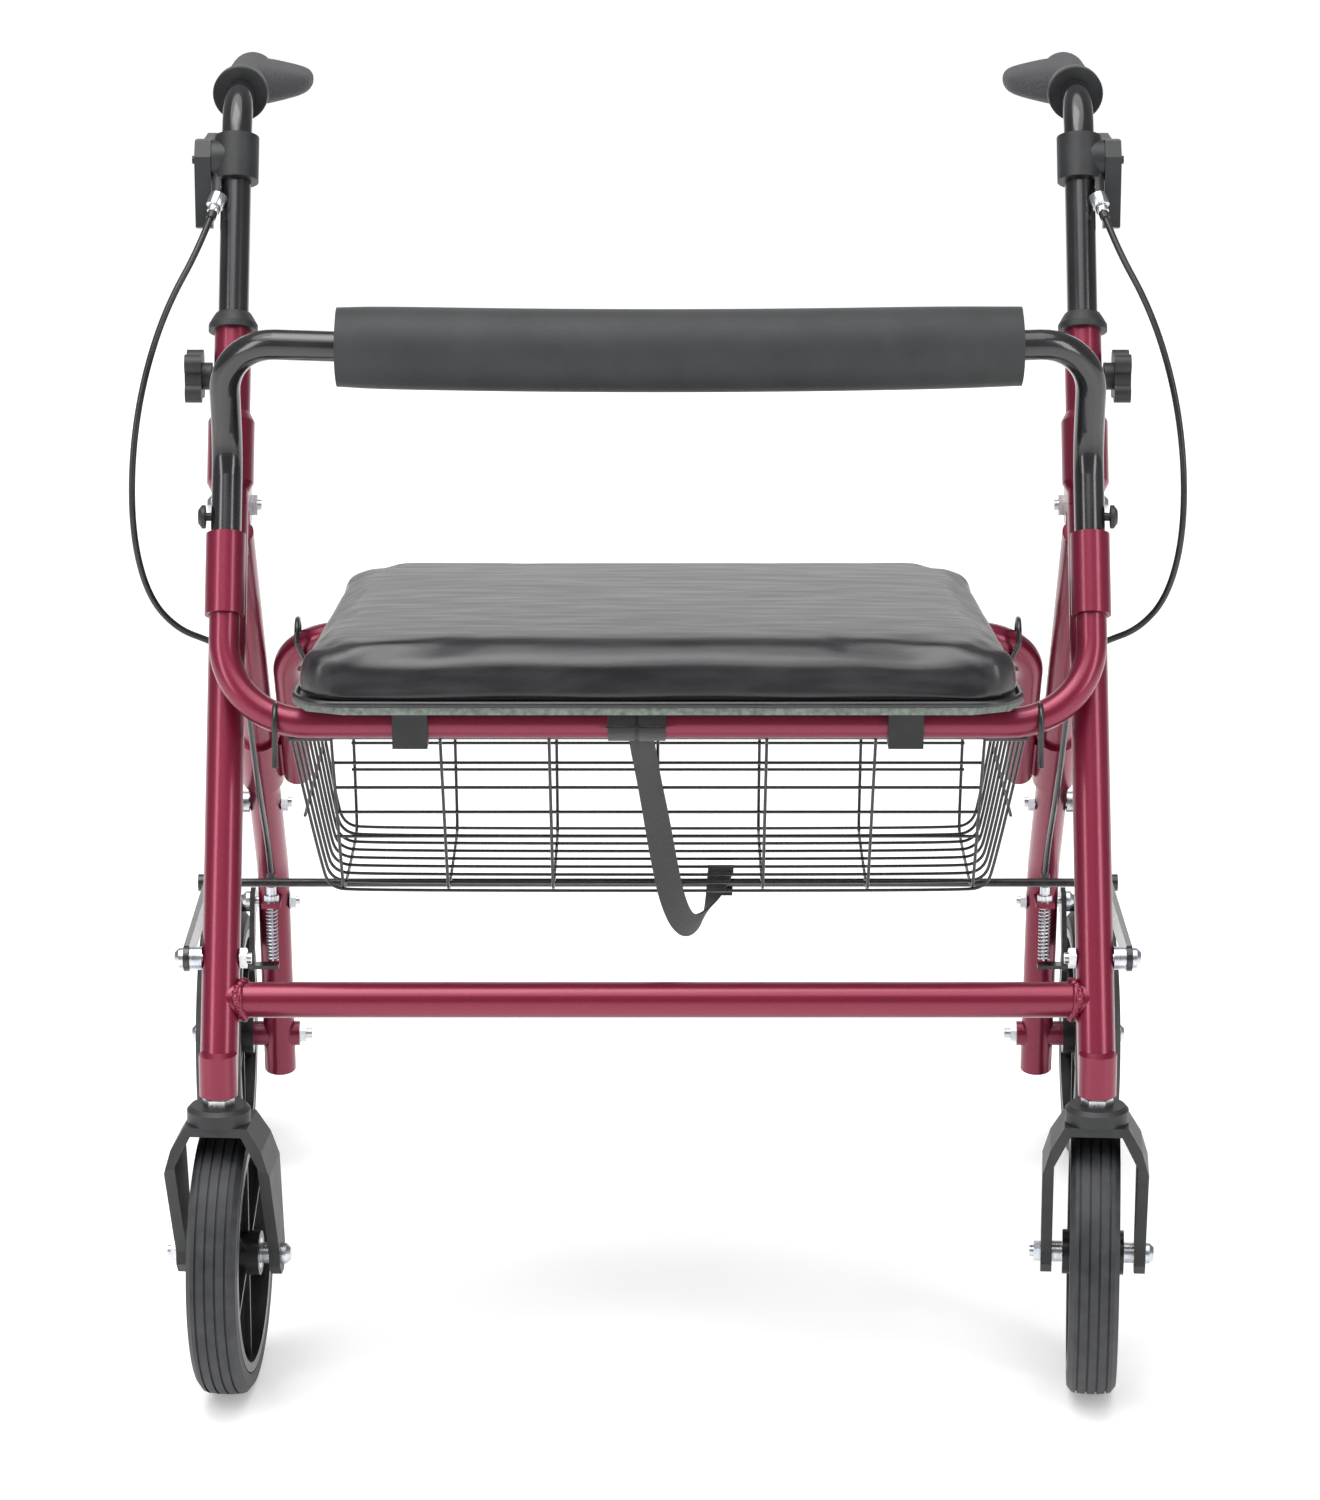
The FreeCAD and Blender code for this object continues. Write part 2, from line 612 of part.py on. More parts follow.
def make_brake(side, sign):
    """Cable adjuster and return spring in front of the rear leg, and the arm that they pull."""
    x = sign * half
    barrel = cylinder(side + "_barrel", "adjuster_diameter", "adjuster_length - 1",
                      (x, spring_y, size.bracket_up + 1))
    lock_nut = cylinder(side + "_lock_nut", "adjuster_diameter * 1.5", "nut_height",
                        (x, spring_y, size.bracket_up + 4))
    keep(fuse(side + "_cable_adjuster", barrel, lock_nut), side + "_cable_adjuster")
    spring_foot = (x, spring_y, size.bracket_up - size.spring_length)
    coil = cylinder(side + "_coil", "spring_od", "spring_length", spring_foot)
    core = cylinder(side + "_coil_core", "spring_od - 2 * spring_wall", "spring_length", spring_foot)
    keep(cut(side + "_brake_spring", coil, core), side + "_brake_spring")

    plate_in = half + size.link_out - 3
    name = side + "_brake_arm"
    shoe = (axle_y, size.wheel_diameter + size.shoe_gap + size.shoe_diameter / 2)
    tail = (spring_y, size.bracket_up - size.spring_length - 4)
    plate_shape = plate(name + "_plate", "YZ_Plane", [
        (str(tail[0] - 6), str(tail[1] - 3)), (str(tail[0] + 6), str(tail[1] - 3)),
        (str(brake_pin[0] + 9), str(brake_pin[1] - 8)), (str(shoe[0] + 6), str(shoe[1] - 5)),
        (str(shoe[0] + 7), str(shoe[1] + 6)), (str(brake_pin[0] + 3), str(brake_pin[1] + 10)),
        (str(brake_pin[0] - 8), str(brake_pin[1] + 6))], "brake_plate")
    plate_shape.Placement = FreeCAD.Placement(V(sign * (plate_in + size.brake_plate / 2), 0, 0),
                                              FreeCAD.Rotation())
    foot_length = plate_in + size.brake_plate - half + size.spring_od / 2
    foot = box(name + "_foot", str(foot_length), "12", "3",
               (sign * (plate_in + size.brake_plate - foot_length / 2), tail[0], tail[1]))
    pad = cross_bar(name + "_shoe", "shoe_diameter",
                    "rear_track / 2 + tyre_width / 2 - leg_spacing / 2 - link_out",
                    plate_in + 1, *shoe, sign)
    hole = cross_bar(name + "_hole", "brake_pin + 2 * pin_gap", "brake_plate * 2", plate_in - 2, *brake_pin,
                     sign)
    wire = cylinder(name + "_wire_hole", "2.4", "10", (x, spring_y, tail[1] - 5))
    keep(cut(name, fuse(name + "_shell", plate_shape, foot, pad), hole, wire), name)


# ---------------------------------------------------------------- folding links
def link(name, start, end, middle, start_bore, end_bore, sign):
    """A flat bar with round ends between two points, `middle` away from the middle plane."""
    way = V(0, end[0] - start[0], end[1] - start[1])
    turn = FreeCAD.Rotation(V(0, 1, 0), way)
    centre = ((start[0] + end[0]) / 2, (start[1] + end[1]) / 2)
    inner = middle - size.link_wall / 2
    shell = [box(name + "_bar", "link_wall", str(way.Length), "link_width", (sign * middle, *centre), turn)]
    holes = []
    for end_name, place, bore in (("start", start, start_bore), ("end", end, end_bore)):
        shell.append(cross_bar(f"{name}_{end_name}", "link_width", "link_wall", inner, *place, sign))
        holes.append(cross_bar(f"{name}_{end_name}_hole", bore, "link_wall * 3", inner - size.link_wall,
                               *place, sign))
    return cut(name, fuse(name + "_shell", *shell), *holes)


def make_links():
    rear_middle = half + size.link_out + size.link_wall / 2
    front_middle = rear_middle + size.link_wall + size.running_gap
    turning = "bolt_diameter + 2 * pin_gap"
    fronts = [link(side + "_front_link", front_bolt, knee, front_middle, turning, "rod_diameter", sign)
              for side, sign in SIDES]
    rears = [link(side + "_rear_link", knee, rear_bolt, rear_middle, "rod_diameter + 2 * running_gap",
                  turning, sign)
             for side, sign in SIDES]
    keep(group("front_links", *fronts), "front_links")
    keep(group("rear_links", *rears), "rear_links")
    rod = cylinder("rod_bar", "rod_diameter", "rod_length", (-size.rod_length / 2, *knee), (1, 0, 0))
    caps = [cross_bar(side + "_rod_cap", "rod_diameter * 2", "6", size.rod_length / 2 - 6, *knee, sign)
            for side, sign in SIDES]
    keep(fuse("fold_rod", rod, *caps), "fold_rod")


# ---------------------------------------------------------------- wheels and casters
def make_wheel(name, place):
    """Tyre, rim and bearings about an axle; `place` carries +Z onto the axle."""
    seat = "wheel_diameter / 2 - tyre_depth"
    side_wall = "tyre_width / 2"
    bead = "tyre_width / 2 - 2.5"
    tread = "wheel_diameter / 2"
    half_profile = [(seat, bead), (seat + " + 3", bead), (seat + " + 4", side_wall),
                    (tread + " - 6", side_wall), (tread + " - 1.5", "tyre_width * 0.4")]
    profile = [(reach_out, f"0 - ( {across} )") for reach_out, across in half_profile]
    for share in (-0.3, -0.1, 0.1, 0.3):
        edge = tread if abs(share) < 0.2 else tread + " - 0.6"
        low, high = f"tyre_width * {share} - groove_width / 2", f"tyre_width * {share} + groove_width / 2"
        profile += [(edge, low), (edge + " - groove_depth", low), (edge + " - groove_depth", high),
                    (edge, high)]
    profile += half_profile[::-1]
    tyre = turned(name + "_tyre", profile)
    tyre.Placement = place
    keep(tyre, name + "_tyre")

    inside = seat + " - rim_wall"
    lip = seat + " + 3"
    barrel = turned(name + "_barrel", [
        (inside, "0 - tyre_width / 2"), (lip, "0 - tyre_width / 2"), (lip, f"0 - ( {bead} )"),
        (seat, f"0 - ( {bead} )"),
        (seat, bead), (lip, bead), (lip, side_wall), (inside, side_wall)])
    hub = bind(fresh("Part::Cylinder", name + "_hub"), Radius="hub_od / 2", Height="hub_length")
    hub.Placement = facing((0, 0, -size.hub_length / 2), (0, 0, 1))
    spokes = []
    reach_in = radius - size.tyre_depth - size.rim_wall / 2
    for number in range(int(size.spoke_count)):
        turn = FreeCAD.Rotation(V(0, 0, 1), 360 * number / size.spoke_count)
        middle = turn.multVec(V((reach_in + size.hub_od / 4) / 2, 0, 0))
        length = str(reach_in - size.hub_od / 4)
        spokes.append(box(f"{name}_spoke_{number}", length, "spoke_width", "spoke_depth", tuple(middle),
                          turn))
        spokes.append(box(f"{name}_rib_{number}", length, "spoke_width / 3", "spoke_depth * 1.5",
                          tuple(middle), turn))
    bore = [cylinder(name + "_bore", "axle_diameter + 4", "hub_length * 2", (0, 0, -size.hub_length))]
    bearings = []
    for end, low in (("a", -size.hub_length / 2), ("b", size.hub_length / 2 - size.bearing_width)):
        bore.append(cylinder(f"{name}_pocket_{end}", "bearing_od", "bearing_width", (0, 0, low)))
        race = cylinder(f"{name}_race_{end}", "bearing_od", "bearing_width", (0, 0, low))
        hole = cylinder(f"{name}_race_{end}_hole", "axle_diameter + 2 * pin_gap", "bearing_width",
                        (0, 0, low))
        bearings.append(cut(f"{name}_bearing_{end}", race, hole))
    rim = cut(name + "_rim", fuse(name + "_rim_shell", barrel, hub, *spokes), *bore)
    rim.Placement = place
    keep(rim, name + "_rim")
    pair = group(name + "_bearings", *bearings)
    pair.Placement = place
    keep(pair, name + "_bearings")


def make_caster(side, sign):
    """Fork, stem and front wheel, made about the stem and then turned into place."""
    stand = FreeCAD.Placement(V(sign * half, stem_y, 0), FreeCAD.Rotation(V(0, 0, 1), -size.caster_turn))
    name = side + "_fork"
    top = "wheel_diameter + crown_gap + crown_height"
    eye = "fork_depth * 0.3"
    side_view = plate(name + "_side", "YZ_Plane", [
        ("0 - fork_depth * 0.42", "wheel_diameter * 0.9"), ("0 - fork_depth * 0.42", top),
        ("fork_depth * 0.58", top),
        (f"caster_trail + {eye}", "wheel_diameter / 2 + 4"),
        (f"caster_trail + {eye}", f"wheel_diameter / 2 - {eye} * 0.4"),
        (f"caster_trail + {eye} * 0.4", f"wheel_diameter / 2 - {eye}"),
        (f"caster_trail - {eye} * 0.4", f"wheel_diameter / 2 - {eye}"),
        (f"caster_trail - {eye}", f"wheel_diameter / 2 - {eye} * 0.4"),
        (f"caster_trail - {eye}", "wheel_diameter / 2 + 4")], "fork_width * 2")
    blade = "fork_width / 2 - fork_blade"
    under = "wheel_diameter + crown_gap"
    right = [("fork_width / 2", "0"), ("fork_width / 2", "wheel_diameter * 0.88"),
             ("fork_width * 0.43", "wheel_diameter * 0.97"), ("cap_diameter / 2", top)]
    inner = [("cap_diameter * 0.4", under), (blade, "wheel_diameter * 0.91"), (blade, "0")]
    left = [(f"0 - ( {across} )", up) for across, up in right]
    left_inner = [(f"0 - ( {across} )", up) for across, up in inner]
    front_view = plate(name + "_front", "XZ_Plane", right + left[::-1] + left_inner[::-1] + inner,
                       "wheel_diameter * 2")
    blades = fresh("Part::MultiCommon", name + "_blades")
    blades.Shapes = [side_view, front_view]
    cap = turned(name + "_cap", [
        ("0", "0"), ("cap_diameter / 2", "0"), ("cap_diameter / 2", "cap_height * 0.75"),
        ("cap_diameter * 0.44", "cap_height"), ("0", "cap_height")])
    cap.Placement = facing((0, 0, crown_top), (0, 0, 1))
    holes = [
        cylinder(name + "_stem_hole", "stem_diameter", "stem_length",
                 (0, 0, crown_top - size.stem_length / 2)),
        cylinder(name + "_axle_hole", "axle_diameter", "fork_width * 2",
                 (-size.fork_width, size.caster_trail, radius), (1, 0, 0)),
    ]
    fork = cut(name, fuse(name + "_shell", blades, cap), *holes)
    fork.Placement = stand
    keep(fork, name)

    axle = (size.caster_trail, radius)
    outer = size.fork_width / 2
    low = crown_top - size.crown_height
    stem = cylinder(side + "_stem_bar", "stem_diameter", "stem_length + crown_height", (0, 0, low))
    hexagon = bind(fresh("Part::Prism", side + "_stem_hexagon"), Circumradius="stem_diameter * 0.95",
                   Height="nut_height")
    hexagon.Polygon = 6
    hexagon.Placement = facing((0, 0, crown_top + size.cap_height), (0, 0, 1))
    pieces = [fuse(side + "_stem", stem, hexagon),
              bolt(side + "_axle", -outer - size.nut_height - 3, outer, axle, 1, "axle_diameter"),
              nut(side + "_axle_nut", -outer - size.nut_height, axle, 1, "axle_diameter")]
    for face, way in (("near", -1), ("far", 1)):
        pieces.append(washer(f"{side}_{face}_spacer", way * (size.hub_length / 2 + 0.3),
                             way * (outer - size.fork_blade), axle, 1, "head_diameter", "axle_diameter")
                      if way > 0 else
                      washer(f"{side}_{face}_spacer", -(outer - size.fork_blade),
                             -(size.hub_length / 2 + 0.3),
                             axle, 1, "head_diameter", "axle_diameter"))
    hardware = group(side + "_caster_bolts", *pieces)
    hardware.Placement = stand
    keep(hardware, side + "_caster_bolts")
    make_wheel(side + "_front", stand.multiply(facing((0, *axle), (1, 0, 0))))


# ---------------------------------------------------------------- handles and brakes levers
def make_handle(side, sign):
    x = sign * half
    name = side + "_handle_tube"
    corner = up_leg(size.upright_length + size.handle_rise)
    low = up_leg(size.upright_length - size.handle_inside)
    end = (corner[0] + size.handle_reach, corner[1])
    wire = [(x, *low), (x, *corner), (x, *end)]
    keep(tube(name, wire, [size.handle_bend], "handle_od", "handle_wall"), name)

    start = end[0] - size.grip_length
    sleeve = cylinder(side + "_grip_sleeve", "grip_od", "grip_length + 6", (x, start, end[1]), (0, 1, 0))
    ring = cylinder(side + "_grip_ring", "grip_ring_od", "grip_ring_length", (x, start, end[1]), (0, 1, 0))
    palm = plate(side + "_palm", "XY_Plane", [
        ("0", "grip_length * 0.18"), ("palm_reach * 0.62", "grip_length * 0.3"),
        ("palm_reach", "grip_length * 0.52"),
        ("palm_reach", "grip_length * 0.74"), ("palm_reach * 0.62", "grip_length * 0.96"),
        ("0", "grip_length")],
        "palm_height")
    flip = FreeCAD.Rotation(V(0, 1, 0), 0 if sign < 0 else 180)
    palm.Placement = FreeCAD.Placement(V(x, start, end[1] + size.grip_od / 2 - size.palm_height / 2), flip)
    bore = cylinder(side + "_grip_bore", "handle_od + 2 * grip_gap", "grip_length",
                    (x, start, end[1]), (0, 1, 0))
    keep(cut(side + "_grip", fuse(side + "_grip_shell", sleeve, ring, palm), bore), side + "_grip")

    middle = up_leg(size.upright_length + size.clamp_up)
    foot = up_leg(size.upright_length + size.clamp_up - size.clamp_length / 2)
    face = half + size.clamp_od / 2 + 1
    clamp = straight_bar(side + "_clamp_ring", "clamp_od", "clamp_length", foot, leg_way, x)
    drum = cross_bar(side + "_drum", "drum_od", "drum_width", face - size.drum_width, *middle, sign)
    barrel = cylinder(side + "_clamp_barrel", "adjuster_diameter + 1", "drum_od * 1.2",
                      (sign * (face - size.drum_width / 2), *middle), (0, -0.72, -0.69))
    pin = cross_bar(side + "_lever_pin", "lever_pin", "lever_width + 4", face - 1, *middle, sign)
    around = (up_leg(size.upright_length + size.clamp_up - 1.5 * size.clamp_length), leg_way, x)
    tube_hole = straight_bar(side + "_clamp_bore", "handle_od", "clamp_length * 3", *around)
    ring_hole = straight_bar(side + "_clamp_outside", "clamp_od", "clamp_length * 3", *around)
    keep(group(side + "_brake_clamp", cut(side + "_clamp", clamp, tube_hole),
               cut(side + "_clamp_drum", fuse(side + "_drum_shell", drum, barrel, pin), ring_hole)),
         side + "_brake_clamp")

    y, z = middle
    name = side + "_brake_lever"
    outline = [(-14, -size.lever_drop), (0, -size.lever_drop - 3), (10, -22), (26, -14),
               (size.lever_length - 8, -10), (size.lever_length, -4), (size.lever_length, 4),
               (size.lever_length - 10, 6), (24, 6), (12, 14), (-6, 15), (-15, 4)]
    blade = plate(name + "_blade", "YZ_Plane", [(str(y + a), str(z + b)) for a, b in outline], "lever_width")
    blade.Placement = FreeCAD.Placement(
        V(sign * (face + size.running_gap + size.lever_width / 2), 0, 0), FreeCAD.Rotation())
    hole = cross_bar(name + "_hole", "lever_pin + 2 * pin_gap", "lever_width * 2", face - 2, y, z, sign)
    keep(cut(name, blade, hole), name)


def make_knob(side, sign):
    place = up_leg(size.knob_up)
    name = side + "_height_knob"
    face = half + size.upright_od / 2 + size.knob_stand_off
    screw = cross_bar(name + "_screw", "knob_screw", str(size.upright_wall - 0.4 + size.knob_stand_off),
                      half + size.upright_od / 2 - size.upright_wall + 0.4, *place, sign)
    boss = cross_bar(name + "_boss", "knob_boss", "knob_stand_off - 1", face - size.knob_stand_off + 1,
                     *place, sign)
    core = cross_bar(name + "_core", "knob_od * 0.68", "knob_height", face, *place, sign)
    lobes = []
    for number in range(4):
        angle = math.radians(90 * number + 45)
        away = size.knob_od / 2 - size.knob_od * 0.17
        spot = (place[0] + away * math.cos(angle), place[1] + away * math.sin(angle))
        lobes.append(cross_bar(f"{name}_lobe_{number}", "knob_od * 0.34", "knob_height", face, *spot, sign))
    keep(fuse(name, screw, boss, core, *lobes), name)


# ---------------------------------------------------------------- back bar, seat and basket
def back_path(low, high):
    """Points along the bowed back bar between two distances from the middle plane."""
    top = up_leg(size.socket_low + size.back_rise, size.socket_forward)[0] - size.back_forward
    shoulder, inset = half * 0.645, size.back_bow * 0.6

    def line(x):
        share = (half - abs(x)) / (half - shoulder)
        return top - inset * share

    middle = [(-shoulder, top - inset), (0, top - size.back_bow), (shoulder, top - inset)]
    points = [(low, line(low)), *middle, (high, line(high))]
    return [(x, y, size.back_height) for x, y in points]


def make_back():
    foot = up_leg(size.socket_low + 6, size.socket_forward)
    bend = up_leg(size.socket_low + size.back_rise, size.socket_forward)
    bar = back_path(-half, half)
    points = [(-half, *foot), (-half, *bend), *bar, (half, *bend), (half, *foot)]
    wire = bent(points, [50, 40, 300, 900, 300, 40, 50])
    outer = swept("back_tube_outside", wire, "rail_od")
    inner = swept("back_tube_inside", wire, "rail_od - 2 * rail_wall")
    button = up_leg(size.socket_low + size.button_up, size.socket_forward)
    holes = [cross_bar(side + "_button_hole", "button_stem + 2 * running_gap", "rail_od", half, *button, sign)
             for side, sign in SIDES]
    keep(cut("back_tube", outer, inner, *holes), "back_tube")
    ends = (-size.foam_length / 2 + size.foam_shift, size.foam_length / 2 + size.foam_shift)
    keep(tube("back_foam", back_path(*ends), [300, 900, 300], "foam_od", "( foam_od - rail_od ) / 2"),
         "back_foam")
    for side, sign in SIDES:
        name = side + "_back_button"
        stem = cross_bar(name + "_stem", "button_stem", "rail_od / 2 + 2", half + 2, *button, sign)
        head = turned(name + "_head", [
            ("0", "0"), ("button_od / 2", "0"), ("button_od / 2", "button_head * 0.5"),
            ("button_od * 0.3", "button_head"), ("0", "button_head")])
        head.Placement = facing((sign * (half + size.rail_od / 2 + 4), *button), (sign, 0, 0))
        keep(fuse(name, stem, head), name)


def make_seat():
    front = rail[0] - size.seat_forward
    board_low = size.seat_top - size.seat_pad_height - size.seat_board_height
    corner = 38
    for name, low, height, inset in (("seat_board", board_low, "seat_board_height", 3),
                                     ("seat_pad", size.seat_top - size.seat_pad_height, "seat_pad_height",
                                      0)):
        half_front = size.seat_front_width / 2 - inset
        half_back = size.seat_back_width / 2 - inset
        depth = size.seat_depth - 2 * inset
        right = [(half_front - corner, 0), (half_front - corner * 0.3, corner * 0.3), (half_front, corner),
                 (half_back, depth - corner), (half_back - corner * 0.3, depth - corner * 0.3),
                 (half_back - corner, depth)]
        outline = right + [(-x, y) for x, y in reversed(right)]
        slab = plate(name, "XY_Plane", [(str(x), str(y)) for x, y in outline], height)
        middle = low + sheet_value(height) / 2
        slab.Placement = FreeCAD.Placement(V(0, front + inset, middle), FreeCAD.Rotation())
        keep(slab, name)
    clips = []
    for side, sign in SIDES:
        x = sign * size.clip_spacing / 2
        outside = size.rail_od / 2 + size.running_gap + size.clip_wall
        block = box(side + "_clip_block", "clip_width", str(2 * outside), str(board_low - rail[1] + outside),
                    (x, rail[0], (board_low + rail[1] - outside) / 2))
        bore = cylinder(side + "_clip_bore", "rail_od + 2 * running_gap", "clip_width * 2",
                        (x - size.clip_width, *rail), (1, 0, 0))
        clips.append(cut(side + "_clip", block, bore))
    keep(group("seat_clips", *clips), "seat_clips")


def make_basket():
    """Open basket with slanted walls; its top is open over the whole width."""
    top = (rail[0] + size.basket_back_gap, rail[1] - size.basket_drop)

    def solid(name, wall, lift):
        side_view = plate(name + "_side", "YZ_Plane", [
            (f"0 + {wall}", lift), (f"basket_floor_forward + {wall}", f"0 - basket_height + {wall}"),
            (f"basket_depth + basket_floor_back - {wall}", f"0 - basket_height + {wall}"),
            (f"basket_depth - {wall}", lift)], "basket_top_width * 2")
        low = f"basket_floor_width / 2 - {wall}"
        high = f"basket_top_width / 2 - {wall}"
        front_view = plate(name + "_front", "XZ_Plane", [
            (high, lift), (low, f"0 - basket_height + {wall}"),
            (f"0 - ( {low} )", f"0 - basket_height + {wall}"), (f"0 - ( {high} )", lift)], "basket_depth * 4")
        both = fresh("Part::MultiCommon", name)
        both.Shapes = [side_view, front_view]
        return both

    basket = cut("basket", solid("basket_outside", "0", "0"), solid("basket_inside", "basket_wall", "0"))
    basket.Placement = FreeCAD.Placement(V(0, *top), FreeCAD.Rotation())
    keep(basket, "basket")


# ---------------------------------------------------------------- strap and brake cables
def make_strap():
    """Lifting strap: from the front rail down in front of the basket, then back to the rod."""
    line = [(rail[0] + 2, rail[1] - 12.5), (rail[0] + 6, rail[1] - 80), (rail[0] + 20, rail[1] - 148),
            (rail[0] + 64, rail[1] - 184), (knee[0] - 38, knee[1] - 24), (knee[0] - 4, knee[1] - 6)]
    one, other = [], []
    for i, (y, z) in enumerate(line):
        before, after = line[max(i - 1, 0)], line[min(i + 1, len(line) - 1)]
        way = V(after[0] - before[0], after[1] - before[1], 0).normalize() * (size.strap_wall / 2)
        one.append((str(y - way.y), str(z + way.x)))
        other.append((str(y + way.y), str(z - way.x)))
    band = plate("lift_strap", "YZ_Plane", one + other[::-1], "strap_width")
    band.Placement = FreeCAD.Placement(V(12, 0, 0), FreeCAD.Rotation())
    keep(band, "lift_strap")


# Route of each brake cable: distance from the middle plane, behind the caster stems, height.
UPPER_CABLE = [(322.5, 288.6, 826.4), (333, 266, 797), (357, 238, 755), (373, 215, 705), (381, 200, 650),
               (381, 196, 593), (371, 201, 548), (352, 212, 522), (330, 230, 509), (313, 254, 495)]
LOWER_CABLE = [(312.9, 254.9, 494.2), (310, 300, 456), (310, 345, 412), (310, 385, 372), (310, 425, 336),
               (310, 462, 306), (310, 489, 283), (310, 505, 264), (310, 514.4, 252), (310, 514.2, 242)]


def cable(name, route, sign):
    """A bent round tube whose arcs are as large as the runs beside them allow."""
    points = [(sign * x, stem_y + y, z) for x, y, z in route]
    corners = [V(*p) for p in points]
    radii = []
    for before, here, after in zip(corners, corners[1:], corners[2:]):
        turn = (here - before).getAngle(after - here)
        shorter = min((here - before).Length, (after - here).Length)
        radii.append(0.45 * shorter / math.tan(turn / 2))
    wire = bent(points, radii)
    print(name, "length", round(wire.Length, 1), "least radius", round(min(radii), 1))
    keep(swept(name, wire, "cable_diameter"), name)


# ---------------------------------------------------------------- the whole walker
for side, sign in SIDES:
    make_upright(side, sign)
    make_rear_leg(side, sign)
    make_caster(side, sign)
    rear_middle = sign * size.rear_track / 2
    make_wheel(side + "_rear", facing((rear_middle, axle_y, radius), (1, 0, 0)))
    make_handle(side, sign)
    make_knob(side, sign)
    make_brake(side, sign)
    cable(side + "_upper_cable", UPPER_CABLE, sign)
    cable(side + "_lower_cable", LOWER_CABLE, sign)
make_cross_tube()
make_front_rail()
make_collars()
make_frame_fasteners()
make_rear_rail()
make_rear_fasteners()
make_links()
make_back()
make_seat()
make_basket()
make_strap()
doc.removeObject("Probe")
doc.recompute()

# ---------------------------------------------------------------- checks and files
faults = [obj.Name for obj in doc.Objects if {"Invalid", "Error"} & set(obj.State)]
for name, piece in nodes.items():
    if piece.Shape.isNull() or not piece.Shape.isValid() or not piece.Shape.Solids:
        faults.append(name)
if faults:
    raise RuntimeError("these did not build: " + ", ".join(faults))
os.makedirs("parts", exist_ok=True)
for name, piece in nodes.items():
    piece.Shape.exportStep(f"parts/{name}.step")
print(len(nodes), "nodes written")
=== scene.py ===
import math
import json

import bpy
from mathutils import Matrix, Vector


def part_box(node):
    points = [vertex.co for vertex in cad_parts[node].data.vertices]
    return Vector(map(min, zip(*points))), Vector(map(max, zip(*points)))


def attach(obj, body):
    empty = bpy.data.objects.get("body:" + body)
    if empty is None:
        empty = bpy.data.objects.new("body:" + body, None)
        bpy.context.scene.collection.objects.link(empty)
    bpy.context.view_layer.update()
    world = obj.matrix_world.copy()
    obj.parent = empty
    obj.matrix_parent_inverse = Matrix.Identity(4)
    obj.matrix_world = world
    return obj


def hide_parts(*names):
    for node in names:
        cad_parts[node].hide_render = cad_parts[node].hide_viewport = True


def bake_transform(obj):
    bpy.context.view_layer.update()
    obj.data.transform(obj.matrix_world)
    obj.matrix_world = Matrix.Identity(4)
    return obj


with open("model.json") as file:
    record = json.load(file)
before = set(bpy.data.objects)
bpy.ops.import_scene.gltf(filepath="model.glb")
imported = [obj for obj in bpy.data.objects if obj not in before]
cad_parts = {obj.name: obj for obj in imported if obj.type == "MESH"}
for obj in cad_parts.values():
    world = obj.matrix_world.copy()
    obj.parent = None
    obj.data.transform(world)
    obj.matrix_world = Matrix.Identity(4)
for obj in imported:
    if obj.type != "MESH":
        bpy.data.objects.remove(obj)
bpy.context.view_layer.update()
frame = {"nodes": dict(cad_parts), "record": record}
nodes = frame["nodes"]
sides = (("left", -1), ("right", 1))
print("frame loaded:", len(nodes), "nodes")


def pick(*objects):
    bpy.ops.object.select_all(action="DESELECT")
    for item in objects:
        item.select_set(True)
    bpy.context.view_layer.objects.active = objects[-1]


def freeze(piece):
    # the place goes into the mesh, as in a CAD node
    pick(piece)
    bpy.ops.object.transform_apply(location=True, rotation=True, scale=True)
    return piece


def newest(name):
    piece = bpy.context.active_object
    piece.name = name
    piece.data.name = name
    return piece


def addModifier(piece, kind, **settings):
    modifier = piece.modifiers.new(kind.title(), kind)
    for key, value in settings.items():
        setattr(modifier, key, value)
    return modifier


def applyAll(piece):
    pick(piece)
    for modifier in list(piece.modifiers):
        bpy.ops.object.modifier_apply(modifier=modifier.name)
    return piece


def smoothBy(piece, degrees=35):
    pick(piece)
    bpy.ops.object.shade_smooth_by_angle(angle=math.radians(degrees))


def chooseFaces(piece, test):
    # selects in edit mode the faces whose middle and normal pass the test
    pick(piece)
    bpy.ops.object.mode_set(mode="EDIT")
    bpy.ops.mesh.select_mode(type="FACE")
    bpy.ops.mesh.select_all(action="DESELECT")
    bpy.ops.object.mode_set(mode="OBJECT")
    for face in piece.data.polygons:
        face.select = bool(test(face.center, face.normal))
    bpy.ops.object.mode_set(mode="EDIT")


def chooseEdges(piece, test):
    pick(piece)
    bpy.ops.object.mode_set(mode="EDIT")
    bpy.ops.mesh.select_mode(type="EDGE")
    bpy.ops.mesh.select_all(action="DESELECT")
    bpy.ops.object.mode_set(mode="OBJECT")
    points = piece.data.vertices
    for edge in piece.data.edges:
        a, b = (points[i].co for i in edge.vertices)
        edge.select = bool(test(a, b))
    bpy.ops.object.mode_set(mode="EDIT")


def done():
    bpy.ops.object.mode_set(mode="OBJECT")


def joinUp(name, pieces):
    pick(*pieces)
    if len(pieces) > 1:
        bpy.ops.object.join()
    return newest(name)


def dress(piece, material, body):
    # a piece that runs between two bodies names none here and stays unattached
    piece.data.materials.clear()
    piece.data.materials.append(material)
    if body:
        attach(piece, body)
    return piece


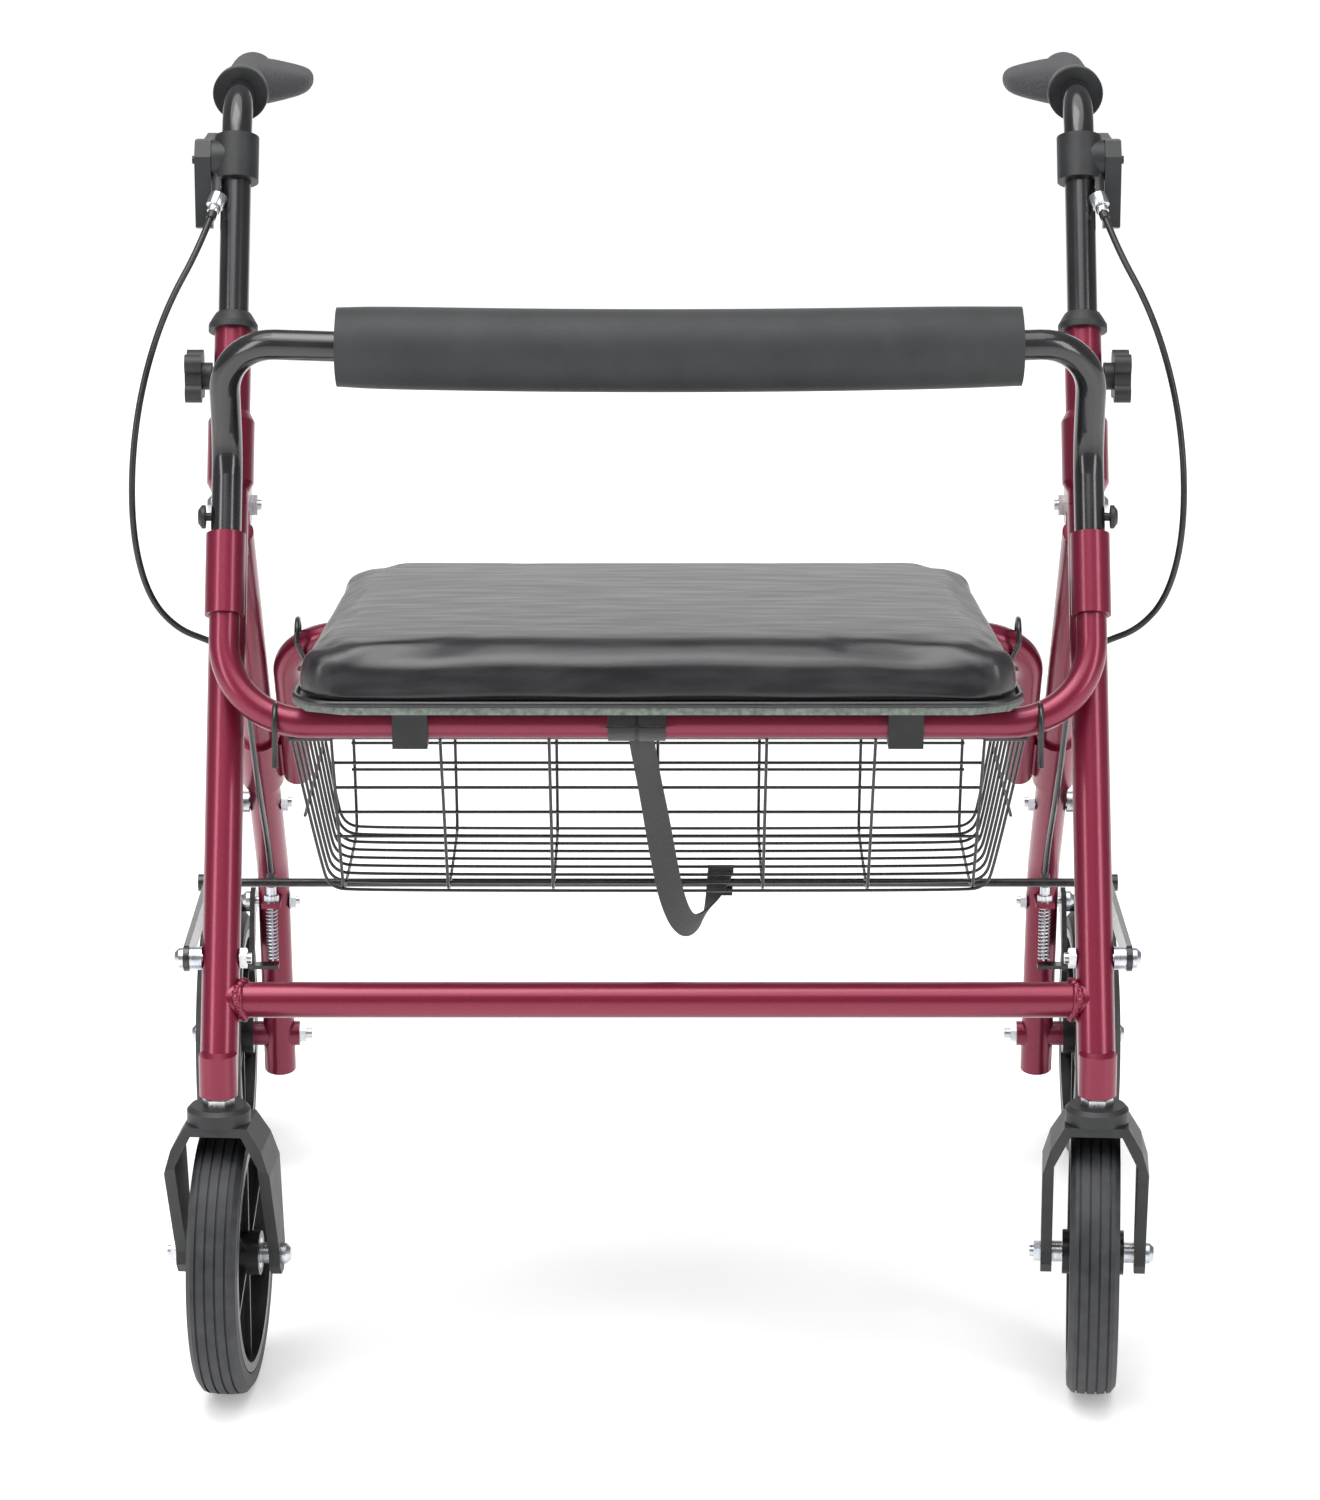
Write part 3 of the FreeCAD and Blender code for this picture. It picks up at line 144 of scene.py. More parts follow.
def lineOf(name, points, radius, smooth=True, closed=False, corners=4):
    # a round bar along the points, as a mesh
    curve = bpy.data.curves.new(name, "CURVE")
    curve.dimensions = "3D"
    curve.bevel_depth = radius
    curve.bevel_resolution = corners
    curve.use_fill_caps = not closed
    spline = curve.splines.new("NURBS" if smooth else "POLY")
    spline.points.add(len(points) - 1)
    for spot, place in zip(spline.points, points):
        spot.co = (*place, 1)
    if smooth:
        spline.order_u = 3
        spline.use_endpoint_u = not closed
        spline.resolution_u = 8
    spline.use_cyclic_u = closed
    piece = bpy.data.objects.new(name, curve)
    bpy.context.scene.collection.objects.link(piece)
    pick(piece)
    bpy.ops.object.convert(target="MESH")
    piece = newest(name)
    pick(piece)
    bpy.ops.object.shade_smooth()
    return piece


def roundedRun(points, cut):
    # each inner corner becomes two points and a middle one, for a tight bend between straight runs
    run = [points[0]]
    for before, here, after in zip(points, points[1:], points[2:]):
        back = (before - here).normalized() * cut
        on = (after - here).normalized() * cut
        run += [here + back, here + (back + on) * 0.18, here + on]
    return run + [points[-1]]


def bar(name, radius, start, end, flats=24):
    # a straight round bar between two points
    way = end - start
    bpy.ops.mesh.primitive_cylinder_add(vertices=flats, radius=radius, depth=way.length,
                                        location=(start + end) / 2)
    piece = newest(name)
    piece.rotation_euler = way.to_track_quat("Z", "Y").to_euler()
    return freeze(piece)


def startMaterial(name, color, roughness, metallic=0.0, **sockets):
    material = bpy.data.materials.new(name)
    material.use_nodes = True
    shader = material.node_tree.nodes["Principled BSDF"]
    shader.inputs["Base Color"].default_value = (*color, 1)
    shader.inputs["Roughness"].default_value = roughness
    shader.inputs["Metallic"].default_value = metallic
    for socket, value in sockets.items():
        shader.inputs[socket.replace("_", " ")].default_value = value
    return material, shader


def noiseOn(material, scale, detail=4, stretch=(1, 1, 1), kind="ShaderNodeTexNoise"):
    tree = material.node_tree
    place = tree.nodes.new("ShaderNodeTexCoord")
    mapping = tree.nodes.new("ShaderNodeMapping")
    mapping.inputs["Scale"].default_value = stretch
    texture = tree.nodes.new(kind)
    texture.inputs["Scale"].default_value = scale
    if "Detail" in texture.inputs:
        texture.inputs["Detail"].default_value = detail
    tree.links.new(place.outputs["Object"], mapping.inputs["Vector"])
    tree.links.new(mapping.outputs["Vector"], texture.inputs["Vector"])
    return texture


def outOf(texture):
    return texture.outputs["Distance"] if "Distance" in texture.outputs else texture.outputs[0]


def rangeOf(material, source, low, high, fromLow=0.0, fromHigh=1.0):
    node = material.node_tree.nodes.new("ShaderNodeMapRange")
    node.inputs["From Min"].default_value = fromLow
    node.inputs["From Max"].default_value = fromHigh
    node.inputs["To Min"].default_value = low
    node.inputs["To Max"].default_value = high
    material.node_tree.links.new(source, node.inputs["Value"])
    return node.outputs["Result"]


def varyRoughness(material, shader, source, low, high, fromLow=0.0, fromHigh=1.0):
    spread = rangeOf(material, source, low, high, fromLow, fromHigh)
    material.node_tree.links.new(spread, shader.inputs["Roughness"])


def addBump(material, shader, source, strength, depth, under=None):
    bump = material.node_tree.nodes.new("ShaderNodeBump")
    bump.inputs["Strength"].default_value = strength
    bump.inputs["Distance"].default_value = depth
    material.node_tree.links.new(source, bump.inputs["Height"])
    if under is not None:
        material.node_tree.links.new(under.outputs["Normal"], bump.inputs["Normal"])
    material.node_tree.links.new(bump.outputs["Normal"], shader.inputs["Normal"])
    return bump


def addColors(material, shader, source, dark, light, fromLow=0.3, fromHigh=0.7):
    ramp = material.node_tree.nodes.new("ShaderNodeValToRGB")
    ramp.color_ramp.elements[0].position = fromLow
    ramp.color_ramp.elements[0].color = (*dark, 1)
    ramp.color_ramp.elements[1].position = fromHigh
    ramp.color_ramp.elements[1].color = (*light, 1)
    material.node_tree.links.new(source, ramp.inputs["Fac"])
    material.node_tree.links.new(ramp.outputs["Color"], shader.inputs["Base Color"])
    return ramp


def candyRed():
    # deep metallic red under a clear coat, with fine flake
    material, shader = startMaterial("candyRed", (0.12, 0.003, 0.018), 0.36, 0.55,
                                     Coat_Weight=0.55, Coat_Roughness=0.16)
    flake = noiseOn(material, 2600, kind="ShaderNodeTexVoronoi")
    addColors(material, shader, flake.outputs["Color"], (0.075, 0.002, 0.012), (0.23, 0.009, 0.042),
              0.25, 0.85)
    cloud = noiseOn(material, 18)
    varyRoughness(material, shader, outOf(cloud), 0.32, 0.44)
    peel = noiseOn(material, 420, 2)
    addBump(material, shader, outOf(peel), 0.12, 0.0004)
    return material


def glossBlack():
    # sprayed enamel with a little orange peel
    material, shader = startMaterial("glossBlack", (0.012, 0.012, 0.014), 0.2, 0.0,
                                     Coat_Weight=0.6, Coat_Roughness=0.08)
    peel = noiseOn(material, 320, 2)
    cloud = noiseOn(material, 30)
    addColors(material, shader, outOf(cloud), (0.009, 0.009, 0.011), (0.017, 0.017, 0.02))
    varyRoughness(material, shader, outOf(cloud), 0.16, 0.3)
    addBump(material, shader, outOf(peel), 0.08, 0.0003)
    return material


def brightZinc():
    # bluish plating with fine scratches
    material, shader = startMaterial("brightZinc", (0.62, 0.65, 0.7), 0.25, 1.0)
    tint = noiseOn(material, 90)
    addColors(material, shader, outOf(tint), (0.5, 0.54, 0.62), (0.78, 0.78, 0.76))
    scratch = noiseOn(material, 700, 3, (1, 1, 0.15))
    varyRoughness(material, shader, outOf(scratch), 0.15, 0.42)
    addBump(material, shader, outOf(scratch), 0.1, 0.0002)
    return material


def mouldedBlack(name="mouldedBlack", dark=(0.012, 0.013, 0.014), light=(0.026, 0.027, 0.029),
                 rough=(0.38, 0.55)):
    material, shader = startMaterial(name, light, 0.45)
    cloud = noiseOn(material, 45)
    addColors(material, shader, outOf(cloud), dark, light)
    varyRoughness(material, shader, outOf(cloud), *rough)
    grain = noiseOn(material, 1900, 2)
    addBump(material, shader, outOf(grain), 0.22, 0.0003)
    return material


def tyreRubber():
    # grey rubber with dust in its grain
    material, shader = startMaterial("tyreRubber", (0.03, 0.031, 0.034), 0.55)
    dust = noiseOn(material, 60, 6)
    addColors(material, shader, outOf(dust), (0.018, 0.019, 0.021), (0.045, 0.047, 0.052), 0.35, 0.75)
    varyRoughness(material, shader, outOf(dust), 0.45, 0.68)
    grain = noiseOn(material, 1300, 3)
    addBump(material, shader, outOf(grain), 0.25, 0.0004)
    return material


def grainedGrip():
    # speckled rubber with small raised cells
    material, shader = startMaterial("grainedGrip", (0.03, 0.03, 0.033), 0.6)
    cells = noiseOn(material, 520, kind="ShaderNodeTexVoronoi")
    addColors(material, shader, outOf(cells), (0.012, 0.012, 0.013), (0.06, 0.06, 0.065), 0.1, 0.8)
    addBump(material, shader, outOf(cells), 0.7, 0.0009)
    return material


def foamSkin():
    # closed-cell foam: matt, with fine pores and a slight sheen
    material, shader = startMaterial("foamSkin", (0.022, 0.024, 0.026), 0.62, 0.0,
                                     Sheen_Weight=0.12, Sheen_Roughness=0.5)
    cloud = noiseOn(material, 26, 5)
    addColors(material, shader, outOf(cloud), (0.016, 0.018, 0.019), (0.027, 0.029, 0.031))
    pores = noiseOn(material, 900, 4)
    varyRoughness(material, shader, outOf(pores), 0.5, 0.72)
    first = addBump(material, shader, outOf(pores), 0.28, 0.0005)
    addBump(material, shader, outOf(cloud), 0.08, 0.002, first)
    return material


def blackVinyl():
    # fine cross wrinkles over a pebbled skin
    material, shader = startMaterial("blackVinyl", (0.012, 0.012, 0.014), 0.3, 0.0,
                                     Coat_Weight=0.35, Coat_Roughness=0.2)
    wrinkle = noiseOn(material, 62, 9, (0.32, 2.3, 1.0))
    pebble = noiseOn(material, 780, kind="ShaderNodeTexVoronoi")
    varyRoughness(material, shader, outOf(wrinkle), 0.3, 0.46, 0.3, 0.7)
    addColors(material, shader, outOf(wrinkle), (0.008, 0.008, 0.01), (0.02, 0.02, 0.023))
    first = addBump(material, shader, outOf(pebble), 0.16, 0.0004)
    addBump(material, shader, outOf(wrinkle), 0.3, 0.0012, first)
    return material


def pressedBoard():
    material, shader = startMaterial("pressedBoard", (0.16, 0.19, 0.17), 0.6)
    fibre = noiseOn(material, 260, 6, (1, 4, 1))
    addColors(material, shader, outOf(fibre), (0.09, 0.115, 0.1), (0.22, 0.25, 0.22))
    addBump(material, shader, outOf(fibre), 0.2, 0.0005)
    return material


def coatedWire():
    material, shader = startMaterial("coatedWire", (0.012, 0.012, 0.013), 0.3, 0.0,
                                     Coat_Weight=0.5, Coat_Roughness=0.15)
    blob = noiseOn(material, 160, 3)
    addColors(material, shader, outOf(blob), (0.008, 0.008, 0.009), (0.022, 0.022, 0.024))
    varyRoughness(material, shader, outOf(blob), 0.2, 0.42)
    addBump(material, shader, outOf(blob), 0.3, 0.0005)
    return material


def webbing():
    # ribs across the strap, crossed by finer threads
    material, shader = startMaterial("webbing", (0.012, 0.012, 0.013), 0.75, 0.0, Sheen_Weight=0.4)
    tree = material.node_tree
    place = tree.nodes.new("ShaderNodeTexCoord")
    waves = []
    for direction, scale in (("Z", 420), ("X", 520)):
        wave = tree.nodes.new("ShaderNodeTexWave")
        wave.bands_direction = direction
        wave.inputs["Scale"].default_value = scale
        wave.inputs["Distortion"].default_value = 0.6
        tree.links.new(place.outputs["Object"], wave.inputs["Vector"])
        waves.append(wave)
    addColors(material, shader, waves[0].outputs["Fac"], (0.006, 0.006, 0.007), (0.03, 0.03, 0.032),
              0.2, 0.9)
    first = addBump(material, shader, waves[1].outputs["Fac"], 0.4, 0.0004)
    addBump(material, shader, waves[0].outputs["Fac"], 0.7, 0.0006, first)
    return material


red = candyRed()
gloss = glossBlack()
zinc = brightZinc()
plastic = mouldedBlack()
rimPlastic = mouldedBlack("rimPlastic", (0.008, 0.008, 0.009), (0.018, 0.018, 0.02), (0.22, 0.38))
rubber = tyreRubber()
gripSkin = grainedGrip()
foam = foamSkin()
vinyl = blackVinyl()
board = pressedBoard()
wireCoat = coatedWire()
strapCloth = webbing()
sheath = mouldedBlack("cableSheath", (0.01, 0.01, 0.011), (0.028, 0.028, 0.03), (0.18, 0.3))
print("materials made")

slotFinish = {"red_frame": red, "black_tube": gloss, "zinc": zinc, "black_plastic": plastic,
              "tyre": rubber, "grip": gripSkin, "foam": foam, "vinyl": vinyl, "board": board,
              "wire": wireCoat, "webbing": strapCloth, "cable": sheath}
for entry in frame["record"]["subparts"]:
    node = nodes[entry["node"]]
    finish = rimPlastic if entry["node"].endswith("_rim") else slotFinish[entry["material_slot"]]
    node.data.materials.clear()
    node.data.materials.append(finish)
    smoothBy(node, 32)


cameraSize = {"lens": 124.8, "place": (0.0015, -3.8055, 1.363), "pitch": 14.1}


def makeCamera():
    bpy.ops.object.camera_add(location=cameraSize["place"],
                              rotation=(math.radians(90 - cameraSize["pitch"]), 0, 0))
    camera = newest("mainCamera")
    camera.data.sensor_fit = "VERTICAL"
    camera.data.sensor_height = 36
    camera.data.lens = cameraSize["lens"]
    camera.data.clip_end = 60
    bpy.context.scene.camera = camera


def makeFloor():
    bpy.ops.mesh.primitive_plane_add(size=40, location=(0, 0, 0))
    floor = newest("studioFloor")
    material, shader = startMaterial("paleFloor", (0.93, 0.93, 0.93), 0.5, Emission_Strength=0.3)
    shader.inputs["Emission Color"].default_value = (1, 1, 1, 1)
    cloud = noiseOn(material, 0.8, 2)
    varyRoughness(material, shader, outOf(cloud), 0.34, 0.42)
    floor.data.materials.append(material)


def makeLight(name, place, target, width, height, power):
    bpy.ops.object.light_add(type="AREA", location=place)
    light = newest(name)
    light.data.shape = "RECTANGLE"
    light.data.size = width
    light.data.size_y = height
    light.data.energy = power
    light.rotation_euler = (Vector(target) - Vector(place)).to_track_quat("-Z", "Y").to_euler()


makeCamera()
makeFloor()
makeLight("softboxLeft", (-2.4, -2.0, 1.7), (0, 0, 0.5), 0.8, 2.0, 26)
makeLight("softboxRight", (2.4, -2.0, 1.7), (0, 0, 0.5), 0.8, 2.0, 26)
makeLight("softboxTop", (-0.5, -0.7, 2.9), (0, 0, 0.5), 1.5, 1.5, 22)
makeLight("backPanel", (0, 4.2, 1.9), (0, 0, 0.7), 5.0, 2.2, 32)
bpy.ops.object.light_add(type="SUN", location=(0, 0, 4),
                         rotation=(math.radians(12), math.radians(-6), 0))
skyLight = newest("skyLight")
skyLight.data.energy = 2.2
skyLight.data.angle = math.radians(70)


def makeWorld():
    # the room is white to look at and dimmer as a source of light
    world = bpy.data.worlds.new("whiteRoom")
    world.use_nodes = True
    tree = world.node_tree
    seen = tree.nodes["Background"]
    seen.inputs["Color"].default_value = (1, 1, 1, 1)
    source = tree.nodes.new("ShaderNodeBackground")
    source.inputs["Strength"].default_value = 0.32
    path = tree.nodes.new("ShaderNodeLightPath")
    mix = tree.nodes.new("ShaderNodeMixShader")
    tree.links.new(path.outputs["Is Camera Ray"], mix.inputs["Fac"])
    tree.links.new(source.outputs["Background"], mix.inputs[1])
    tree.links.new(seen.outputs["Background"], mix.inputs[2])
    tree.links.new(mix.outputs["Shader"], tree.nodes["World Output"].inputs["Surface"])
    bpy.context.scene.world = world


makeWorld()
bpy.context.scene.view_settings.view_transform = "Standard"
print("camera and light made")


# the seat cushion: a slightly small slab, swollen by cloth pressure
seatSize = {"inset": 0.004, "corner": 0.034, "edge": 0.011, "voxel": 0.005, "pressure": 3.0,
            "cap": 0.0055, "frames": 20, "crown": 0.004, "taper": 0.92, "pinned": 0.004, "roll": 0.05,
            "foldX": 0.178, "foldWidth": 0.02, "foldDepth": 0.0035, "ripple": 0.0015, "rippleRate": 46,
            "rise": 0.012, "piping": 0.0024, "pipingCorner": 0.036}


def makeSeat():
    low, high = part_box("seat_pad")
    middle = (low + high) / 2
    span = high - low
    inset = seatSize["inset"]
    bpy.ops.mesh.primitive_cube_add(size=1, location=middle,
                                    scale=(span.x - 2 * inset, span.y - 2 * inset, span.z - inset))
    seat = freeze(newest("seat_cushion"))
    chooseFaces(seat, lambda spot, way: way.y > 0.9)
    bpy.ops.transform.resize(value=(seatSize["taper"], 1, 1), center_override=middle)
    done()
    chooseEdges(seat, lambda a, b: abs(a.x - b.x) < 0.02 and abs(a.y - b.y) < 0.02)
    bpy.ops.mesh.bevel(offset=seatSize["corner"], segments=8)
    done()
    chooseEdges(seat, lambda a, b: min(a.z, b.z) > middle.z)
    bpy.ops.mesh.bevel(offset=seatSize["edge"], segments=3)
    done()
    addModifier(seat, "REMESH", mode="VOXEL", voxel_size=seatSize["voxel"])
    applyAll(seat)
    rest = [v.co.copy() for v in seat.data.vertices]
    cloth = seat.modifiers.new("Cloth", "CLOTH")
    cloth.settings.use_pressure = True
    cloth.settings.uniform_pressure_force = seatSize["pressure"]
    cloth.settings.effector_weights.gravity = 0
    pinned = seat.vertex_groups.new(name="base")
    held = [v.index for v in seat.data.vertices if v.co.z < low.z + seatSize["pinned"]]
    pinned.add(held, 1, "REPLACE")
    cloth.settings.vertex_group_mass = "base"
    for step in range(1, seatSize["frames"] + 1):
        bpy.context.scene.frame_set(step)
    applyAll(seat)
    bpy.context.scene.frame_set(1)
    for vertex, start in zip(seat.data.vertices, rest):
        move = vertex.co - start
        if move.length > seatSize["cap"]:
            vertex.co = start + move.normalized() * seatSize["cap"]
    seat.vertex_groups.clear()
    for vertex in seat.data.vertices:
        place = vertex.co
        across = min(1, abs(place.x - middle.x) / (span.x / 2))
        along = min(1, abs(place.y - middle.y) / (span.y / 2))
        lift = max(0, (place.z - middle.z) / span.z) * 2
        # a crown, a wavy front and one pinched fold near a front corner
        place.z += seatSize["crown"] * lift * (1 - across ** 4) * (1 - along ** 4)
        front = max(0, 1 - (place.y - low.y) / seatSize["roll"])
        foldSpot = (place.x - seatSize["foldX"]) / seatSize["foldWidth"]
        fold = math.exp(-foldSpot ** 2) * front
        place.z -= seatSize["foldDepth"] * fold * lift
        wave = seatSize["ripple"] * math.sin(place.x * seatSize["rippleRate"])
        place.y += wave * front * (1 - lift / 2)
        place.z = min(max(place.z, low.z), high.z + seatSize["rise"])
    addModifier(seat, "SMOOTH", factor=0.5, iterations=4)
    addModifier(seat, "SUBSURF", levels=1, render_levels=1)
    applyAll(seat)
    pick(seat)
    bpy.ops.object.shade_smooth()
    dress(seat, vinyl, "seat")
    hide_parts("seat_pad")


# piping of folded vinyl along the cushion's lower front edge
def makeSeatBinding():
    low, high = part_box("seat_board")
    corner = seatSize["pipingCorner"]
    points = []
    for signX, signY in ((-1, 1), (-1, -1), (1, -1), (1, 1)):
        widthHere = (high.x if signY < 0 else high.x * seatSize["taper"]) - 0.001
        cornerY = (high.y - corner) if signY > 0 else (low.y + corner)
        centre = Vector((signX * (widthHere - corner), cornerY, 0))
        spread = [(-1, 1), (-1, -1), (1, -1), (1, 1)].index((signX, signY))
        for step in range(5):
            angle = math.radians(90 + 90 * spread + 22.5 * step)
            points.append(centre + Vector((math.cos(angle) * corner, math.sin(angle) * corner,
                                           high.z + 0.0015)))
    binding = lineOf("seat_binding", points, seatSize["piping"], closed=True)
    dress(binding, vinyl, "seat")


makeSeat()
makeSeatBinding()
print("seat made")


# foam sleeve on the back bar: its line is the bar's, a little thicker in the middle
foamSize = {"radius": 0.0282, "swell": 0.0012, "round": 0.004, "startIn": 0.0045, "endIn": 0.004}
# places along the bar, across and forward
foamBow = [(-0.227, -0.1606), (-0.2, -0.1636), (-0.1, -0.1733), (0.0, -0.1768), (0.1, -0.1733),
           (0.2, -0.1636), (0.257, -0.1572)]


def makeFoam():
    low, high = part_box("back_foam")
    height = (low.z + high.z) / 2
    start, end = low.x + foamSize["startIn"], high.x - foamSize["endIn"]
    curve = bpy.data.curves.new("back_cushion", "CURVE")
    curve.dimensions = "3D"
    curve.bevel_depth = foamSize["radius"]
    curve.bevel_resolution = 12
    curve.use_fill_caps = True
    spline = curve.splines.new("NURBS")
    stations = [start, start + 0.003, *(x for x, y in foamBow[1:-1]), end - 0.003, end]
    spline.points.add(len(stations) - 1)
    for spot, x in zip(spline.points, stations):
        # the line between the places follows the nearest ones most
        shares = [(1 / (abs(x - a) + 1e-4) ** 2, b) for a, b in foamBow]
        y = sum(w * b for w, b in shares) / sum(w for w, b in shares)
        inner = 1 - abs(x - (start + end) / 2) / ((end - start) / 2)
        spot.co = (x, y, height, 1)
        spot.radius = 1 + foamSize["swell"] / foamSize["radius"] * (1 if inner > 0.1 else 0)
    spline.order_u = 3
    spline.use_endpoint_u = True
    spline.resolution_u = 12
    sleeve = bpy.data.objects.new("back_cushion", curve)
    bpy.context.scene.collection.objects.link(sleeve)
    pick(sleeve)
    bpy.ops.object.convert(target="MESH")
    sleeve = newest("back_cushion")
    addModifier(sleeve, "WELD", merge_threshold=0.00005)
    addModifier(sleeve, "BEVEL", width=foamSize["round"], segments=4, limit_method="ANGLE",
                angle_limit=math.radians(50))
    applyAll(sleeve)
    smoothBy(sleeve, 40)
    dress(sleeve, foam, "backrest")
    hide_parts("back_foam")


makeFoam()
print("back cushion made")


# wire basket: long wires front to back, cross wires side to side, rows on front and back, and hooks
basketSize = {"wire": 0.0012, "rim": 0.0021, "columns": 7, "columnGap": 0.078, "rows": 9, "bend": 0.02,
              "levels": (1.0, 0.84, 0.68, 0.52, 0.36), "floorHalf": 0.244, "floorForward": 0.063,
              "frontRail": (-0.211, 0.4805), "rearRail": (0.0262, 0.4895), "railRadius": 0.0112,
              "hookX": 0.272, "hookTip": 0.024}


def makeBasket():
    low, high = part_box("basket")
    wire = basketSize["wire"]
    rim = basketSize["rim"]
    topHalf, floorHalf = high.x - rim, basketSize["floorHalf"] - wire
    topFront, floorFront = low.y + rim, low.y + basketSize["floorForward"]
    back = high.y - rim
    floorZ, topZ = low.z + wire * 3, high.z - rim
    pieces = []

    def bent(points, radius):
        run = roundedRun([Vector(p) for p in points], basketSize["bend"])
        pieces.append(lineOf("wire", run, radius, smooth=True, corners=2))

    def straight(start, end, radius):
        pieces.append(lineOf("wire", [Vector(start), Vector(end)], radius, smooth=False, corners=2))

    middle = (basketSize["columns"] - 1) / 2
    edge = middle * basketSize["columnGap"]
    for index in range(basketSize["columns"]):
        x = (index - middle) * basketSize["columnGap"]
        floorX = x * 0.985
        bent(((x, topFront - wire, topZ), (floorX, floorFront - wire, floorZ - 2 * wire),
              (floorX, back + wire, floorZ - 2 * wire), (x, back + wire, topZ)), wire)
    for index in range(basketSize["rows"]):
        share = index / (basketSize["rows"] - 1)
        yTop = topFront + 0.012 + (back - 0.012 - topFront) * share
        yFloor = floorFront + (back - floorFront) * share
        bent(((-topHalf, yTop, topZ), (-floorHalf, yFloor, floorZ), (floorHalf, yFloor, floorZ),
              (topHalf, yTop, topZ)), wire)
    for level in basketSize["levels"]:
        height = floorZ + (topZ - floorZ) * level
        front = floorFront + (topFront - floorFront) * level
        straight((-edge, front + wire, height), (edge, front + wire, height), wire)
        straight((-edge, back - wire, height), (edge, back - wire, height), wire)
    for sign in (-1, 1):
        # rim of each side panel, carried by the hooks, and a tie down its middle
        straight((sign * topHalf, topFront, topZ), (sign * topHalf, back, topZ), rim)
        halfway = (floorHalf + topHalf) / 2 + 2 * wire
        yMiddle = (floorFront + topFront) / 2
        middleZ = (floorZ + topZ) / 2
        straight((sign * halfway, yMiddle, middleZ), (sign * halfway, back, middleZ), wire)
        for y in (topFront, back):
            straight((sign * edge, y, topZ), (sign * topHalf, y, topZ), rim)
    basket = joinUp("wire_basket", pieces)
    dress(basket, wireCoat, "frame")
    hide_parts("basket")
    for side, sign in sides:
        makeHook(side, sign, "front", topFront, topZ)
        makeHook(side, sign, "rear", back, topZ)


def makeHook(side, sign, where, edge, topZ):
    rim = basketSize["rim"]
    x = sign * basketSize["hookX"]
    centre = Vector((x, *basketSize["frontRail" if where == "front" else "rearRail"]))
    reach = basketSize["railRadius"] + rim
    forward = -1 if where == "front" else 1
    start = Vector((sign * (basketSize["hookX"] - 0.008), edge + forward * -0.016, topZ))
    points = [start + Vector((0, forward * -0.02, 0)), start,
              centre + Vector((0, -forward * (reach + 0.001), -0.004))]
    for step in range(7):
        angle = math.radians(180 - 30 * step)
        points.append(centre + Vector((0, forward * reach * math.cos(angle), reach * math.sin(angle))))
    tip = centre + Vector((0, forward * reach, -basketSize["hookTip"]))
    points += [tip, tip + Vector((0, forward * 0.002, -0.006))]
    hook = lineOf(f"{side}_{where}_basket_hook", points, rim, smooth=True, corners=4)
    dress(hook, wireCoat, "frame")


makeBasket()
print("basket made")


# lifting strap: two tabs on the front rail, a slack loop, and its end at the rod
strapSize = {"width": 0.019, "thick": 0.0014, "railLoop": 0.0125, "tabLoop": 0.0131,
             "tabs": (-0.026, -0.004)}


def ribbonOf(name, stations):
    # stations hold a place and the turn of the strap's width there, in degrees
    curve = bpy.data.curves.new(name, "CURVE")
    curve.dimensions = "3D"
    curve.twist_mode = "Z_UP"
    curve.extrude = strapSize["width"] / 2
    spline = curve.splines.new("NURBS")
    spline.points.add(len(stations) - 1)
    for spot, (place, turn) in zip(spline.points, stations):
        spot.co = (*place, 1)
        spot.tilt = math.radians(turn)
    spline.order_u = 3
    spline.use_endpoint_u = True
    spline.resolution_u = 10
    piece = bpy.data.objects.new(name, curve)
    bpy.context.scene.collection.objects.link(piece)
    pick(piece)
    bpy.ops.object.convert(target="MESH")
    piece = newest(name)
    addModifier(piece, "SOLIDIFY", thickness=strapSize["thick"], offset=0)
    addModifier(piece, "BEVEL", width=0.0004, segments=2)
    applyAll(piece)
    smoothBy(piece, 40)
    return piece


def makeStrap():
    rail = Vector((0, *basketSize["frontRail"]))
    around = []
    for step in range(7):
        angle = math.radians(-60 + 50 * step)
        loop = strapSize["railLoop"]
        around.append((rail + Vector((-0.013, -loop * math.sin(angle), loop * math.cos(angle))), 90))
    hang = [((-0.012, -0.199, 0.466), 90), ((-0.008, -0.186, 0.44), 90), ((-0.002, -0.172, 0.405), 82),
            ((0.004, -0.155, 0.365), 68), ((0.01, -0.138, 0.33), 50), ((0.018, -0.12, 0.306), 30),
            ((0.027, -0.106, 0.299), 20), ((0.037, -0.093, 0.307), 40), ((0.044, -0.08, 0.322), 70),
            ((0.047, -0.07, 0.334), 90), ((0.047, -0.0575, 0.3335), 90), ((0.047, -0.0525, 0.322), 90),
            ((0.046, -0.058, 0.312), 90), ((0.046, -0.0665, 0.3125), 90)]
    strap = ribbonOf("lift_webbing", around + [(Vector(p), t) for p, t in hang])
    dress(strap, strapCloth, None)
    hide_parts("lift_strap")
    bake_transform(strap)
    for index, x in enumerate(strapSize["tabs"]):
        loop = []
        for step in range(13):
            angle = math.radians(30 * step)
            reach = strapSize["tabLoop"]
            loop.append((rail + Vector((x, reach * math.sin(angle), reach * math.cos(angle))), 90))
        tab = ribbonOf(f"strap_tab_{index + 1}", loop)
        dress(tab, strapCloth, "frame")


makeStrap()
print("strap made")


